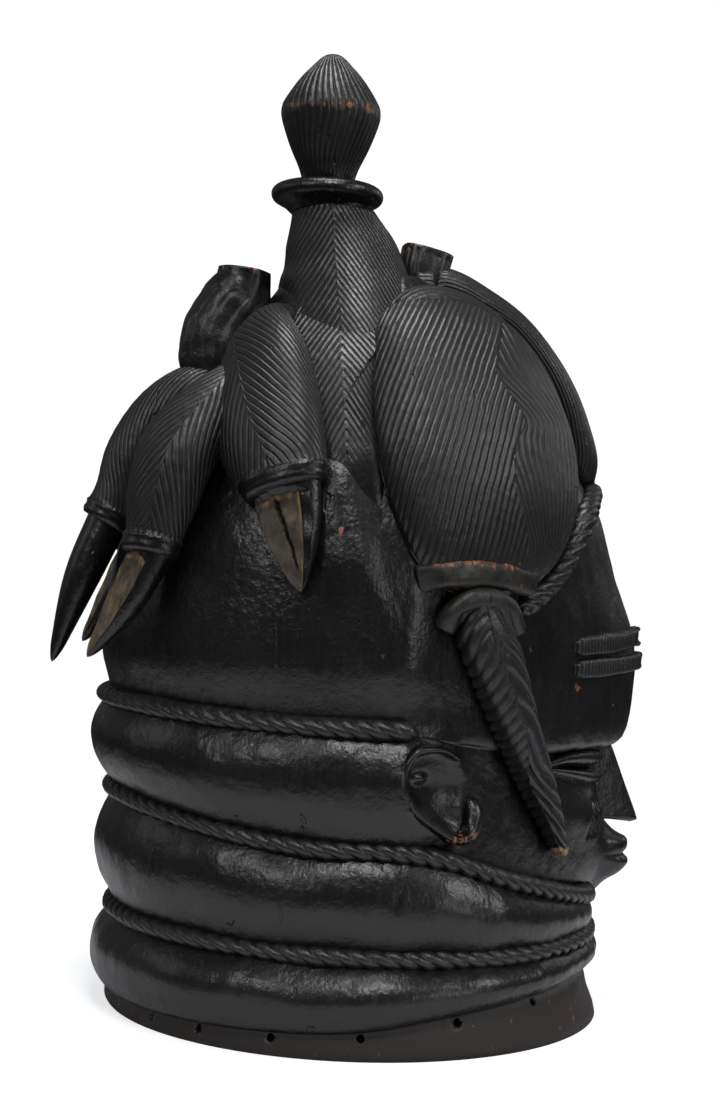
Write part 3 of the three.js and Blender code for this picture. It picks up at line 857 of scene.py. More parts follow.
@dataclass(frozen=True)
class Patina:
    """Near-black polished patina, worn to brown wood on edges and to tan wood where broken, with painted
    shade in grooves and pits and painted sheen on combed hair.
    """

    black: Triple = (0.0036, 0.0034, 0.0034)
    grey: Triple = (0.0072, 0.0076, 0.0088)
    # Greyer colour for combed hair: painted sheen in place of the light its ridges reflect.
    painted_sheen_grey: Triple = (0.019, 0.0196, 0.022)
    brown: Triple = (0.017, 0.0095, 0.006)
    dust: Triple = (0.030, 0.026, 0.020)
    chip: Triple = (0.36, 0.125, 0.05)
    chip_dark: Triple = (0.09, 0.036, 0.02)
    tan: Triple = (0.60, 0.39, 0.17)
    tan_dark: Triple = (0.17, 0.11, 0.06)
    aged: Triple = (0.040, 0.034, 0.029)
    rim: Triple = (0.016, 0.0095, 0.0055)
    # Near-black colour of comb grooves: painted shade in the recesses.
    shade: Triple = (0.003, 0.003, 0.003)
    speck: Triple = (0.30, 0.24, 0.16)
    # Darker than black, for pits, cracks and nicks: painted shade inside them.
    pit: Triple = (0.0015, 0.0015, 0.0015)

    def material(self, name: str) -> bpy.types.Material:
        """Build the material, which reads the marks of the surfaces.

        Args:
            name: name of the material.

        Returns:
            The material.
        """
        found = bpy.data.materials.new(name)
        bench = blank(found)
        here, upright, leaning = bench.here(), bench.here(0.16), bench.here(0.4)
        broad = bench.noise(here, 26.0, 5.0, 0.6)
        middle = bench.noise(here, 140.0, 5.0, 0.62)
        fine = bench.noise(here, 520.0)
        grain = bench.noise(upright, 420.0, 3.0, 0.55)
        nick = bench.noise(upright, 150.0, 2.0, 0.4).step(0.715, 0.735)
        hammered = bench.noise(here, 330.0, 3.0, 0.55)
        splinter = bench.noise(leaning, 330.0, 5.0, 0.6)
        wear, bare, aged, rim, dusty, combed, beaten, wormy, phase, pit = (bench.mark(mark) for mark in (
            "wear", "bare", "aged", "rim", "dusty", "combed", "beaten", "wormy", "phase", "pit"))
        worm = bench.spots(leaning, 105.0, 0.10, 0.135) * wormy * broad.step(0.49, 0.52)
        speck = bench.spots(here, 60.0, 0.03, 0.045) * middle.step(0.5, 0.52)
        pit = pit.math("MAXIMUM", worm)
        groove = (1 - (phase * math.pi).math("SINE").size().step(0.0, 0.75)) * combed
        dirt = (dusty * (0.35 + middle * 0.9)).step(0.25, 0.9)
        flake = (splinter * 0.6 + middle * 0.4 + wear * 0.17 - groove * 0.05).step(0.675, 0.705)
        flake = flake * wear.step(0.02, 0.2)

        chipped = bench.blend(hammered.step(0.4, 0.6), self.chip, self.chip_dark)
        wood = bench.blend(grain.step(0.35, 0.68), self.tan_dark, self.tan)
        wood = bench.blend((aged * (0.45 + middle * 1.1)).step(0.1, 0.95), wood, self.aged)
        colour = self.black
        for share, paint in (
                (broad.step(0.42, 0.66) * 0.7, self.grey),
                (middle.step(0.55, 0.72) * 0.45, self.brown),
                (dirt * 0.75, self.dust),
                (rim * (0.6 + grain * 0.5), self.rim),
                # Combed hair painted greyer: painted sheen in place of the light its ridges reflect.
                (combed * (0.35 + broad * 0.5), self.painted_sheen_grey),
                # Comb grooves painted near black: painted shade in their recesses.
                (groove * 0.72, self.shade),
                (flake, chipped),
                ((bare * (0.6 + middle * 0.8)).step(0.30, 0.62), wood),
                (speck * 0.8, self.speck),
                # Pits, worm holes, cracks and nicks painted near black: painted shade in the hollows, on top
                # of their sunk bump.
                (pit.math("MAXIMUM", nick * 0.7), self.pit)):
            colour = bench.blend(share, colour, paint)

        rough = 0.23 + broad * 0.14 + (grain - 0.5) * 0.2 + combed * 0.06 + groove * 0.2 + dirt * 0.3
        rough = rough + rim * 0.34 + bare * 0.30 + flake * 0.2 + pit * 0.3
        blows = hammered * (0.10 + beaten * broad.step(0.4, 0.62) * 0.30)
        height = fine * 0.10 + middle * 0.55 + grain * 0.12 + blows - groove * 0.3 - nick * 0.5 - pit * 0.9
        bench.close(colour, rough, {"Strength": 1.0, "Distance": 0.001, "Height": height},
                    Specular_IOR_Level=0.62)
        return found


@dataclass(frozen=True)
class HollowWood:
    """Bare brown wood inside the mask, with tool marks."""

    light: Triple = (0.16, 0.095, 0.05)
    dark: Triple = (0.035, 0.022, 0.014)

    def material(self, name: str) -> bpy.types.Material:
        """Build the material.

        Args:
            name: name of the material.

        Returns:
            The material.
        """
        found = bpy.data.materials.new(name)
        bench = blank(found)
        grain = bench.noise(bench.here(0.12), 300.0, 6.0, 0.65)
        stain = bench.noise(bench.here(), 22.0, 5.0, 0.6)
        colour = bench.blend(grain.step(0.3, 0.7), self.dark, self.light)
        colour = bench.blend(stain.step(0.38, 0.62) * 0.85, colour, self.dark)
        bump = {"Strength": 0.5, "Distance": 0.0012, "Height": grain + stain}
        bench.close(colour, 0.62 + stain * 0.25, bump)
        return found


@dataclass
class Workshop:
    """Finishes and the recipe that every part of the mask shares."""

    patina: bpy.types.Material = field(default_factory=lambda: Patina().material("patina"))
    hollow: bpy.types.Material = field(default_factory=lambda: HollowWood().material("hollow_wood"))
    comb: Recipe = field(default_factory=stroke_recipe)

    def register(self, thing: bpy.types.Object) -> bpy.types.Object:
        """Let a finished piece ride on the part and stand for its solid.

        Args:
            thing: the piece.

        Returns:
            The piece.
        """
        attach(thing, BODY)
        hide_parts(NODE)
        thing.data.calc_loop_triangles()
        log.info("%s: %d triangles", thing.name, len(thing.data.loop_triangles))
        return thing

    def combed(self, name: str, surface: Surface, **sizes: float) -> bpy.types.Object:
        """Piece whose comb strokes are cut along the surface's marks.

        Args:
            name: name of the piece.
            surface: its surface.
            sizes: values of the recipe's inputs, by name.

        Returns:
            The piece.
        """
        for mark in ("stroke", "cut"):
            surface.marks.setdefault(mark, np.zeros(len(surface.points)))
        thing = surface.thing(name)
        self.comb.apply(thing, self.patina, **sizes)
        return self.register(thing)

    def plain(self, name: str, surface: Surface) -> bpy.types.Object:
        """Piece without strokes.

        Args:
            name: name of the piece.
            surface: its surface.

        Returns:
            The piece.
        """
        thing = surface.thing(name)
        thing.data.materials.append(self.patina)
        return self.register(thing)

    def pair(self, name: str, surface: Surface, **sizes: float) -> None:
        """Combed piece on the left, and its twin on the right."""
        self.combed(name + "_left", surface, **sizes)
        self.combed(name + "_right", surface.mirrored(), **sizes)


# Sub-assemblies

@dataclass
class Head:
    """Neck rolls, face, crown and the hollow for the wearer's head, as one shell."""

    columns: int = 372
    front_weight: float = 1.9
    angle_samples: int = 4001
    rim_rows: int = 7
    low_roll_rows: int = 22
    middle_roll_rows: int = 26
    face_rows: int = 70
    brow_rows: int = 6
    crown_rows: int = 72
    brow_height: float = 5.5
    swell: float = 11
    swell_in_front: float = 7
    full_height: float = 34
    fullness: float = 0.75
    wall: float = 15
    wall_under_hair: float = 23
    hollow_top: float = 278
    hollow_front: Table = ((0, 115), (40, 112), (70, 104), (120, 106), (170, 118), (278, 118))
    hollow_plan: Table = ((30, 2), (70, 1.6), (200, 1.6), (260, 2))
    hollow_rows: int = 14
    set_back: float = 1.1
    ear: Table = ((24, 122), (14, 126.5), (3, 125), (-1, 115), (3, 104), (14, 95.5), (25, 90.5), (31, 93),
                  (30, 102), (31, 112))
    ear_depth: float = 7.5
    profile: Table = ((51.5, 118.2), (54.2, 119.5), (58.6, 124), (61.8, 128.4), (66, 132.7), (68, 132.4),
                      (69.8, 130.2), (71.8, 131.8), (74.2, 132.2), (76.4, 131.2), (78, 127.8), (80.5, 124.2),
                      (85, 119.9), (91, 118.6))
    cheek_cuts: Table = ((22.5, 26.5), (19.6, 23.6), (16.6, 20.8))
    ridge: Table = ((170, -14), (185, -18), (205, -24), (222, -29), (240, -32), (262, -36))
    chips: Table = ((-31, 216, 1.7), (-27, 208, 1.2), (-17, 190, 1.3), (-12, 165, 1.2), (90, 150, 2.0),
                    (60, 168, 1.3), (-70, 196, 1.2))
    hole: float = 3.4
    hole_drop: float = 1.9
    hole_angles: tuple[float, ...] = (26.7, 53.3, 75.5, 97.2, 116.1, 133.3, 147.8, 164)

    def angles(self) -> Array:
        """Angles round the head, closer together across the face.

        Returns:
            The angles, in radians.
        """
        angle = np.linspace(-math.pi, math.pi, self.angle_samples)
        ring = FORM.point(angle, np.full_like(angle, 100.0), Zone.FACE)
        steps = np.linalg.norm(np.diff(ring, axis=0), axis=1)
        middle = (angle[1:] + angle[:-1]) / 2
        weight = 1 + self.front_weight * bell(middle, 0, 1.0)
        travelled = np.concatenate([[0], np.cumsum(steps * weight)])
        return np.interp(np.arange(self.columns) / self.columns * travelled[-1], travelled, angle)

    def outer_rings(self, angle: Array) -> tuple[Array, Array]:
        """Rings of the outside from the rim to the top, and the rim mark of each row.

        Args:
            angle: angles round the head.

        Returns:
            The rings and the rim marks.
        """
        ahead = np.cos(angle)
        rim, low, middle, brow = (FORM.line(line, angle) for line in (
            FORM.rim_top, FORM.low_rope, FORM.middle_rope, FORM.brow_line))
        low_swell = mix(self.swell, self.swell_in_front, smooth_step(0, 1, ahead))
        middle_swell = self.swell * np.minimum(1, (middle - low) / self.full_height)
        upper_swell = self.swell * (1 - smooth_step(-0.05, 0.5, ahead))
        rows = []
        rim_shares = np.linspace(0, 1, self.rim_rows)
        for t in rim_shares:
            bevel = -0.9 * (1 - smooth_step(0, 0.22, t)) - 0.8 * smooth_step(0.8, 1, t)
            rows.append(FORM.point(angle, rim * t, Zone.NECK, bevel))
        rolls = ((rim, low, self.low_roll_rows, Zone.NECK, low_swell),
                 (low, middle, self.middle_roll_rows, Zone.NECK, middle_swell),
                 (middle, brow, self.face_rows, Zone.FACE, upper_swell))
        for under, over, count, zone, swell in rolls:
            for t in (np.arange(count) + 0.5) / count:
                grow = swell * np.sin(math.pi * t) ** self.fullness
                rows.append(FORM.point(angle, mix(under, over, t), zone, grow))
        for t in np.linspace(0, 1, self.brow_rows):
            turn = t * math.pi / 2
            up = brow - 1.0 + self.brow_height * (1 - math.cos(turn))
            under, over = (FORM.point(angle, up, zone) for zone in (Zone.FACE, Zone.CROWN))
            rows.append(mix(under, over, math.sin(turn)))
        base = brow + self.brow_height
        for t in (np.arange(self.crown_rows) + 1) / self.crown_rows:
            rows.append(FORM.point(angle, mix(base, FORM.crown_top, t**0.93), Zone.CROWN))
        rows.append(mix(rows[-1], place(-8, 0, FORM.crown_top + 2), 0.5))
        marks = np.zeros(len(rows))
        marks[:self.rim_rows] = 1 - 0.5 * smooth_step(0.85, 1, rim_shares)
        return np.stack(rows), marks

    def hollow_rings(self, angle: Array) -> Array:
        """Rings of the inside from the rim to its top.

        Args:
            angle: angles round the head.

        Returns:
            The rings.
        """
        rows = []
        for share in np.linspace(0, 1, self.hollow_rows):
            up = np.full_like(angle, self.hollow_top * math.sin(share * math.pi / 2))
            zone = Zone.NECK if up[0] < FORM.crown_plan[0][0] else Zone.CROWN
            front, back, side, _ = FORM.reach(up, zone)
            front = np.minimum(front, along(self.hollow_front, up))
            shrink = mix(self.wall, self.wall_under_hair, smooth_step(120, 250, up))
            rows.append(FORM.plan_point(angle, up, front - shrink, back - shrink, side - shrink,
                                        along(self.hollow_plan, up)))
        rings = np.stack(rows)
        chisel = waves(rings * [1, 1, 0.6], 12, 31)
        fade = smooth_step(0, 12, rings[..., 2])
        return rings + outwards(rings) * (chisel * fade * 0.5)[..., None]

    @staticmethod
    def outward(rings: Array) -> Array:
        """Directions square to a grid of rings."""
        round_way = np.roll(rings, -1, axis=1) - np.roll(rings, 1, axis=1)
        return unit(np.cross(round_way, np.gradient(rings, axis=0)))

    def face_relief(self, rings: Array) -> Array:
        """Rise of the muzzle, lips, chin, eyes and cheeks above the plain face.

        Args:
            rings: rings of the outside.

        Returns:
            The rise of each point, in millimetres.
        """
        side, up = np.abs(rings[..., 0]), rings[..., 2]
        in_front = smooth_step(40, 70, forward_of(rings))
        swollen = 9.0 * bell(up, 71, 11)
        lips = along(self.profile, up) - along(FORM.face_front, up) + 1.4 - swollen
        lips = np.where((up > 51) & (up < 91), lips, 0)
        lips = lips * (1 - smooth_step(6, 17, side + 0.25 * np.abs(up - 69.5)))
        muzzle = swollen * np.exp(-(side / 19) ** 2.4)
        slit = -3.0 * bell(up, 110.4 + side * 0.10, 1.2) * between(4, 9, 38, 46, side)
        cheek = 5.0 * bell(side, 23, 15) * bell(up, 90.5, 12)
        cuts = np.zeros_like(up)
        for top, bottom in self.cheek_cuts:
            across = mix(top, bottom, (97 - up) / 16)
            cuts -= 2.2 * bell(side, across, 0.62) * between(78.5, 82, 95, 98.5, up)
        return (muzzle + lips + slit + cheek + cuts) * in_front * (up < 121)

    def side_ridge(self, rings: Array) -> Array:
        """Rise of the smooth ridge that carries each tongue of the crest on downwards.

        Args:
            rings: rings of the outside.

        Returns:
            The rise of each point, in millimetres.
        """
        up = rings[..., 2]
        off = forward_of(rings) - along(self.ridge, up)
        return 5.0 * bell(off, 0, np.where(off > 0, 11.0, 14.0)) * between(165, 205, 238, 262, up)

    def chipped(self, rings: Array) -> Array:
        """Wear at the places where the patina has flaked off.

        Args:
            rings: rings of the outside.

        Returns:
            The wear of each point.
        """
        forward, up = forward_of(rings), rings[..., 2]
        return 1.6 * np.max([bell(forward, ahead, size) * bell(up * 0.6, high * 0.6, size)
                             for ahead, high, size in self.chips], axis=0)

    def ear_hollow(self, rings: Array) -> Array:
        """Depth of the leaf-shaped hollow of each ear.

        Args:
            rings: rings of the outside.

        Returns:
            The rise of each point, in millimetres, below 0 in the hollow.
        """
        forward, up = forward_of(rings), rings[..., 2]
        near = (np.abs(forward - 14) < 26) & (np.abs(up - 108) < 28) & (np.abs(rings[..., 0]) > 60)
        where = np.stack([forward[near], up[near]], -1)
        corners = np.asarray(self.ear, float)
        nearest = np.zeros(len(where))
        inside = np.zeros(len(where), bool)
        for start, end in zip(corners, np.roll(corners, -1, 0)):
            edge = end - start
            share = np.clip(((where - start) @ edge) / (edge @ edge), 0, 1)
            nearest += np.linalg.norm(where - start - share[:, None] * edge, axis=1).clip(0.05) ** -3.0
            crossing = (start[1] > where[:, 1]) != (end[1] > where[:, 1])
            reach = start[0] + (where[:, 1] - start[1]) * edge[0] / (edge[1] or 1e-9)
            inside ^= crossing & (where[:, 0] < reach)
        gap = nearest ** (-1 / 3)
        lip = 2.4 * bell(gap, 0, 5) * (1 - smooth_step(20, 32, where[:, 0]))
        knob = 3.0 * bell(forward, 12.5, 3.0) * bell(up, 115, 2.2) * near
        knob[near] += np.where(inside, -self.ear_depth * smooth_step(0, 8, gap), lip)
        return knob

    def dust_marks(self, angle: Array, rings: Array) -> Array:
        """Dust beside the ropes and under the hair.

        Args:
            angle: angles round the head.
            rings: rings of the outside.

        Returns:
            The dust on each point.
        """
        up = rings[..., 2]
        ropes = [0.55 * bell(up, FORM.line(line, angle)[None], 4.5)
                 for line in (FORM.low_rope, FORM.middle_rope)]
        return np.max([*ropes, bell(up, 158, 26) * (forward_of(rings) < 30) * 0.38], axis=0)

    def build(self, shop: Workshop) -> bpy.types.Object:
        """Make the shell, with its hollow and its lacing holes.

        Args:
            shop: the shared finishes and recipe.

        Returns:
            The head.
        """
        angle = self.angles()
        outer, rim_rows = self.outer_rings(angle)
        up = outer[..., 2]
        rise = self.face_relief(outer) + self.ear_hollow(outer) + self.side_ridge(outer)
        uneven = (waves(outer, 22, 7) * 0.34 + waves(outer * [1, 1, 0.6], 6, 8) * 0.13
                  + waves(outer, 3.6, 9) * 0.04 - self.set_back) * smooth_step(8, 24, up)
        crown = smooth_step(138, 165, up) * (1 - smooth_step(30, 70, forward_of(outer)))
        outer = outer + self.outward(outer) * (rise + uneven)[..., None]
        rows = self.hollow_rows
        marks = {"rim": rim_rows[:, None] * np.ones(self.columns), "dusty": self.dust_marks(angle, outer),
                 "wear": np.maximum(0.3 * rim_rows[:, None] + 0.06, self.chipped(outer)), "beaten": crown}
        marks = {name: np.concatenate([np.zeros((rows, self.columns)), value])
                 for name, value in marks.items()}
        marks["rim"][rows - 1] = 1
        surface = Surface.loft(np.concatenate([self.hollow_rings(angle)[::-1], outer]), marks)
        thing = surface.thing("head")
        for finish in (shop.patina, shop.hollow):
            thing.data.materials.append(finish)
        inside = np.zeros(len(thing.data.polygons), np.int32)
        inside[:(rows - 1) * self.columns] = 1
        inside[len(surface.quads):len(surface.quads) + self.columns] = 1
        thing.data.polygons.foreach_set("material_index", inside)
        self.drill(thing)
        return shop.register(thing)

    def drill(self, thing: bpy.types.Object) -> None:
        """Cut the lacing holes through the rim.

        Args:
            thing: the shell.
        """
        drills = []
        for degrees in (0, 180, *self.hole_angles, *(-degrees for degrees in self.hole_angles)):
            angle = np.array([math.radians(degrees)])
            up = FORM.line(FORM.rim_top, angle) - self.hole_drop
            outside, inside = (FORM.point(angle, up, Zone.NECK, grow)[0] for grow in (14, -self.wall - 10))
            across = np.cross(unit(outside - inside), [0, 0, 1])
            turn = np.linspace(0, TURN, 20, endpoint=False)[:, None]
            ring = (across * np.cos(turn) + np.array([0, 0, 1]) * np.sin(turn)) * self.hole / 2
            drills.append(Surface.loft(np.stack([outside + ring, inside + ring])))
        tool = Surface.joined(*drills).thing("drills")
        modifier = thing.modifiers.new("holes", "BOOLEAN")
        modifier.operation = "DIFFERENCE"
        modifier.solver = "EXACT"
        modifier.object = tool
        keep_result(thing)
        bpy.data.objects.remove(tool)


@dataclass(frozen=True)
class CarvedRope:
    """Half-round rope carved along a path, with leaning strands.

    Attributes:
        pitch: distance between strands along the rope, in millimetres.
        half: half height of the rope.
        stand: how far it stands out.
        lean: angle between a strand and the rope, in degrees.
        cut: depth between the strands.
        sides: points round the rope.
        square: 1 for a round section, less for a squarer one.
        buried: how far it reaches under the surface.
    """

    pitch: float = 7.6
    half: float = 4.6
    stand: float = 6.2
    lean: float = 42
    cut: float = 2.6
    sides: int = 18
    square: float = 1.0
    buried: float = 3.0

    def surface(self, points: Array, outward: Array, closed: bool) -> Surface:
        """Surface of the rope along a path, with the marks of its strands.

        Args:
            points: the path, in millimetres.
            outward: directions away from the head.
            closed: whether the path runs back to its start.

        Returns:
            The surface.
        """
        ahead = np.roll(points, -1, 0) - np.roll(points, 1, 0) if closed else np.gradient(points, axis=0)
        ahead = unit(ahead)
        outward = square_to(ahead, outward)
        angle = np.linspace(0, TURN, self.sides, endpoint=False)
        travelled = travelled_along(points)
        total = travelled[-1] + (np.linalg.norm(points[0] - points[-1]) if closed else 0)
        taper = np.ones(len(points)) if closed else np.sqrt(
            smooth_step(-2, 6, travelled) * smooth_step(-2, 6, total - travelled))
        out, off = (rounded(way(angle), self.square) for way in (np.sin, np.cos))
        out, off = np.where(out > 0, self.stand, self.buried) * out, off * self.half
        size = (taper * (1 + 0.05 * waves(points, 15, 12)))[:, None]
        rings = rings_round(points, outward, np.cross(ahead, outward), out * size, off * size)
        strands = round(total / self.pitch)
        stroke = (travelled[:, None] + off / math.tan(math.radians(self.lean))) * strands / total
        top = smooth_step(-0.1, 0.35, np.sin(angle)) * np.ones_like(stroke)
        worn = 0.75 + 0.3 * waves(points, 30, 5)[:, None]
        marks = {"stroke": stroke, "cut": self.cut * MM * top * np.clip(worn, 0.3, 1.1),
                 "wear": np.full(stroke.shape, 0.12), "dusty": 0.3 * (1 - top)}
        return Surface.loft(rings, marks, endless=closed)


@dataclass
class Ropes:
    """Twisted ropes in the grooves between the neck rolls, and the band of the hairline."""

    rope: CarvedRope = field(default_factory=CarvedRope)
    band: CarvedRope = field(default_factory=lambda: CarvedRope(8.8, 5.4, 5.6, 40, 2.8))
    ends: float = 16
    columns: int = 600
    band_columns: int = 300
    hairline: Table = ((52, 186), (63, 192.6), (72, 199.5), (80, 209.5), (86, 218.5), (92, 228), (105, 241))

    def round_head(self, line: Table, zone: Zone, start: float = 0) -> Surface:
        """One rope along a line round the head, which stops short of the front by an angle if told.

        Args:
            line: the line's height by forward place.
            zone: part of the head.
            start: angle from straight ahead at which it begins; 0 for a rope that runs all round.

        Returns:
            The rope's surface.
        """
        closed = start == 0
        angle = np.linspace(start, TURN - start, self.columns, endpoint=not closed)
        points = FORM.point(angle, FORM.line(line, angle), zone)
        return self.rope.surface(points, outwards(points), closed)

    def build(self, shop: Workshop) -> None:
        """Make the three ropes of the neck and the band of the hairline.

        Args:
            shop: the shared finishes and recipe.
        """
        for name, *path in (("low_rope", FORM.low_rope, Zone.NECK),
                            ("middle_rope", FORM.middle_rope, Zone.NECK),
                            ("high_rope", FORM.brow_line, Zone.FACE, math.acos(self.ends / FORM.line_reach))):
            shop.combed(name, self.round_head(*path), sharpness=0.7)
        rows = np.asarray(self.hairline)
        side = FORM.crown_side(rows[:, 0], rows[:, 1])
        side[-1] = 0
        half = place(rows[:, 0], side, rows[:, 1])
        whole = np.vstack([half, half[-2::-1] * [-1, 1, 1]])
        points = spine(whole, np.linspace(0, 1, self.band_columns))
        band = self.band.surface(points, outwards(points, 0.3), False)
        shop.combed("hairline_band", band, sharpness=0.8)


def disc_grid(count: int) -> tuple[Array, Array]:
    """Square grid drawn in to a disc, as distances from the middle and angles.

    Args:
        count: points along each edge of the grid.

    Returns:
        The distances and the angles.
    """
    line = np.linspace(-1, 1, count)
    x, y = np.meshgrid(line, line, indexing="ij")
    across, upward = x * np.sqrt(1 - y**2 / 2), y * np.sqrt(1 - x**2 / 2)
    return np.hypot(across, upward), np.arctan2(upward, across)


@dataclass
class Pad:
    """Raised pad on the side of the crown, inside an outline of [forward, up] points."""

    outline: Table
    middle: tuple[float, float]
    count: int
    edge: float = 3.0
    depth: float = 9.0

    def border(self, samples: int = 720) -> Array:
        """Outline as a closed smooth curve of [forward, up] points.

        Args:
            samples: points on the curve.

        Returns:
            The points of the curve.
        """
        rows = np.asarray(self.outline, float)
        closed = np.vstack([rows[-2:], rows, rows[:3]])
        flat = np.column_stack([closed, np.zeros(len(closed))])
        spans = len(closed) - 1
        shares = np.linspace(2 / spans, (len(rows) + 2) / spans, samples, endpoint=False)
        return spine(flat, shares)[:, :2]

    def surface(self, rise_at: Callable[[Array, Array, Array], Array],
                marks_at: Callable[[Array, Array, Array], Marks]) -> Surface:
        """Closed surface of the pad on the side where x is positive.

        Args:
            rise_at: height of the pad from share of the outline, forward and up.
            marks_at: marks from the same three.

        Returns:
            The surface.
        """
        share, angle = disc_grid(self.count)
        border = self.border() - self.middle
        turn = np.arctan2(border[:, 1], border[:, 0])
        out = share * np.interp(angle, turn, np.hypot(*border.T), period=TURN)
        forward, up = self.middle[0] + out * np.cos(angle), self.middle[1] + out * np.sin(angle)
        top = FORM.on_crown(forward, up, rise_at(share, forward, up))
        marks = marks_at(share, forward, up)
        count = self.count
        ids = np.arange(count * count).reshape(count, count)
        quads = np.stack([ids[:-1, :-1], ids[:-1, 1:], ids[1:, 1:], ids[1:, :-1]], -1).reshape(-1, 4)
        loop = np.concatenate([ids[:-1, 0], ids[-1, :-1], ids[:0:-1, -1], ids[0, :0:-1]])
        sunk = [mix(middle, flat.ravel()[loop], 0.97) for middle, flat in zip(self.middle, (forward, up))]
        inside = FORM.on_crown(*sunk, np.full(len(loop), -self.depth))
        root = FORM.on_crown(*np.array([[middle] for middle in (*self.middle, -self.depth)]))
        first = count * count
        skirt = first + np.arange(len(loop))
        after, skirt_after = np.roll(loop, -1), np.roll(skirt, -1)
        wall = np.stack([loop, skirt, skirt_after, after], -1)
        fan = np.stack([np.full(len(loop), first + len(loop)), skirt_after, skirt], -1)
        points = np.vstack([top.reshape(-1, 3), inside, root])
        full = {name: np.append(value, np.zeros(len(loop) + 1)) for name, value in marks.items()}
        way = 1 if self.faces_out(top) else -1
        return Surface(points, np.vstack([quads, wall])[:, ::way], fan[:, ::way], full)

    @staticmethod
    def faces_out(top: Array) -> bool:
        """Whether the grid's first way and second way turn towards the outside.

        Args:
            top: grid of points of the pad's top.

        Returns:
            True if they do.
        """
        middle = len(top) // 2
        first = top[middle, middle + 1] - top[middle, middle]
        second = top[middle + 1, middle] - top[middle, middle]
        return float(np.cross(first, second)[0]) > 0


@dataclass
class TempleLobes:
    """Combed lobe of hair over each temple."""

    outline: Table = ((-11, 308), (6, 326), (32, 326), (55, 309), (73, 282), (83, 249), (80, 226), (69, 205),
                      (50, 193), (24, 191), (6, 199), (-8, 224), (-15, 250), (-16, 280))
    middle: tuple[float, float] = (30, 258)
    height: float = 15
    parting: Table = ((190, 44), (210, 46), (222, 42), (232, 38.5), (244, 37), (254, 39), (262, 43),
                      (270, 39), (280, 33), (300, 38.5), (315, 46), (330, 52))
    pitch: float = 2.75
    front_count: Table = ((200, 18), (232, 16), (250, 14), (268, 12), (288, 9), (302, 6.5), (318, 2))
    edge_pitch: float = 2.6
    reach: float = 62
    edge_band: float = 13
    columns: int = 205
    cut: float = 1.5

    def front_edge(self, pad: Pad, up: Array) -> Array:
        """Forward place of the front edge at each height.

        Args:
            pad: the lobe's pad.
            up: heights.

        Returns:
            The forward places.
        """
        border = pad.border()
        heights = np.linspace(border[:, 1].min() + 0.5, border[:, 1].max() - 0.5, 80)
        front = []
        for height in heights:
            over = border[:, 1] - height
            front.append(border[over * np.roll(over, -1) <= 0, 0].max())
        return np.interp(up, heights, front)

    def marks(self, pad: Pad, share: Array, forward: Array, up: Array) -> Marks:
        """Strokes that fall from the top to the lower end, parted along a line.

        Args:
            pad: the lobe's pad.
            share: share of the way from the middle to the outline.
            forward: forward places.
            up: heights.

        Returns:
            The marks by name.
        """
        parting = along(self.parting, up)
        front = self.front_edge(pad, up)
        rise = np.maximum(up - 190, 0)
        steep = (forward - 0.10 * rise - 0.0019 * rise**2) / self.pitch
        fine = along(self.front_count, up) * (front - forward) / np.maximum(front - parting, 1)
        from_edge = (1 - share) * self.reach
        edge_width = self.edge_band * smooth_step(-12, 16, forward)
        high = up > 262 - 0.4 * np.minimum(forward, 60)
        on_edge = (from_edge < edge_width) & high & ((forward > parting) | (up > 284))
        stroke = np.where(forward < parting, steep, 0.5 - fine)
        stroke = np.where(on_edge, from_edge / self.edge_pitch, stroke)
        place_on = np.stack([forward, up, up], -1)
        fade = (1 - smooth_step(0.97, 1.0, share)) * smooth_step(191, 204, up + 4 * waves(place_on, 9, 3))
        depth = np.where(on_edge, 0.7, np.where(forward < parting, 1.0, 0.75))
        depth = np.where(on_edge & (np.abs(from_edge - edge_width) < 0.8), 1.0, depth)
        # Ragged holes at the lower end, sunk by the bump and painted near black: painted shade in the holes.
        holes = smooth_step(0.9, 1.3, waves(place_on, 5, 14)) * (1 - smooth_step(196, 205, up))
        return {"stroke": stroke, "cut": self.cut * MM * fade * depth, "pit": holes,
                "wear": 0.10 + 0.75 * (1 - smooth_step(197, 212, up)),
                "dusty": 0.25 * smooth_step(0.8, 1.0, share) + 0.12 + 0.3 * (1 - smooth_step(195, 215, up))}

    def build(self, shop: Workshop) -> None:
        """Make both lobes.

        Args:
            shop: the shared finishes and recipe.
        """
        pad = Pad(self.outline, self.middle, self.columns)
        surface = pad.surface(lambda share, *_: self.height * (1 - share**pad.edge) ** 0.5,
                              lambda *where: self.marks(pad, *where))
        shop.pair("temple_lobe", surface, unevenness=0.8, waver=0.1)


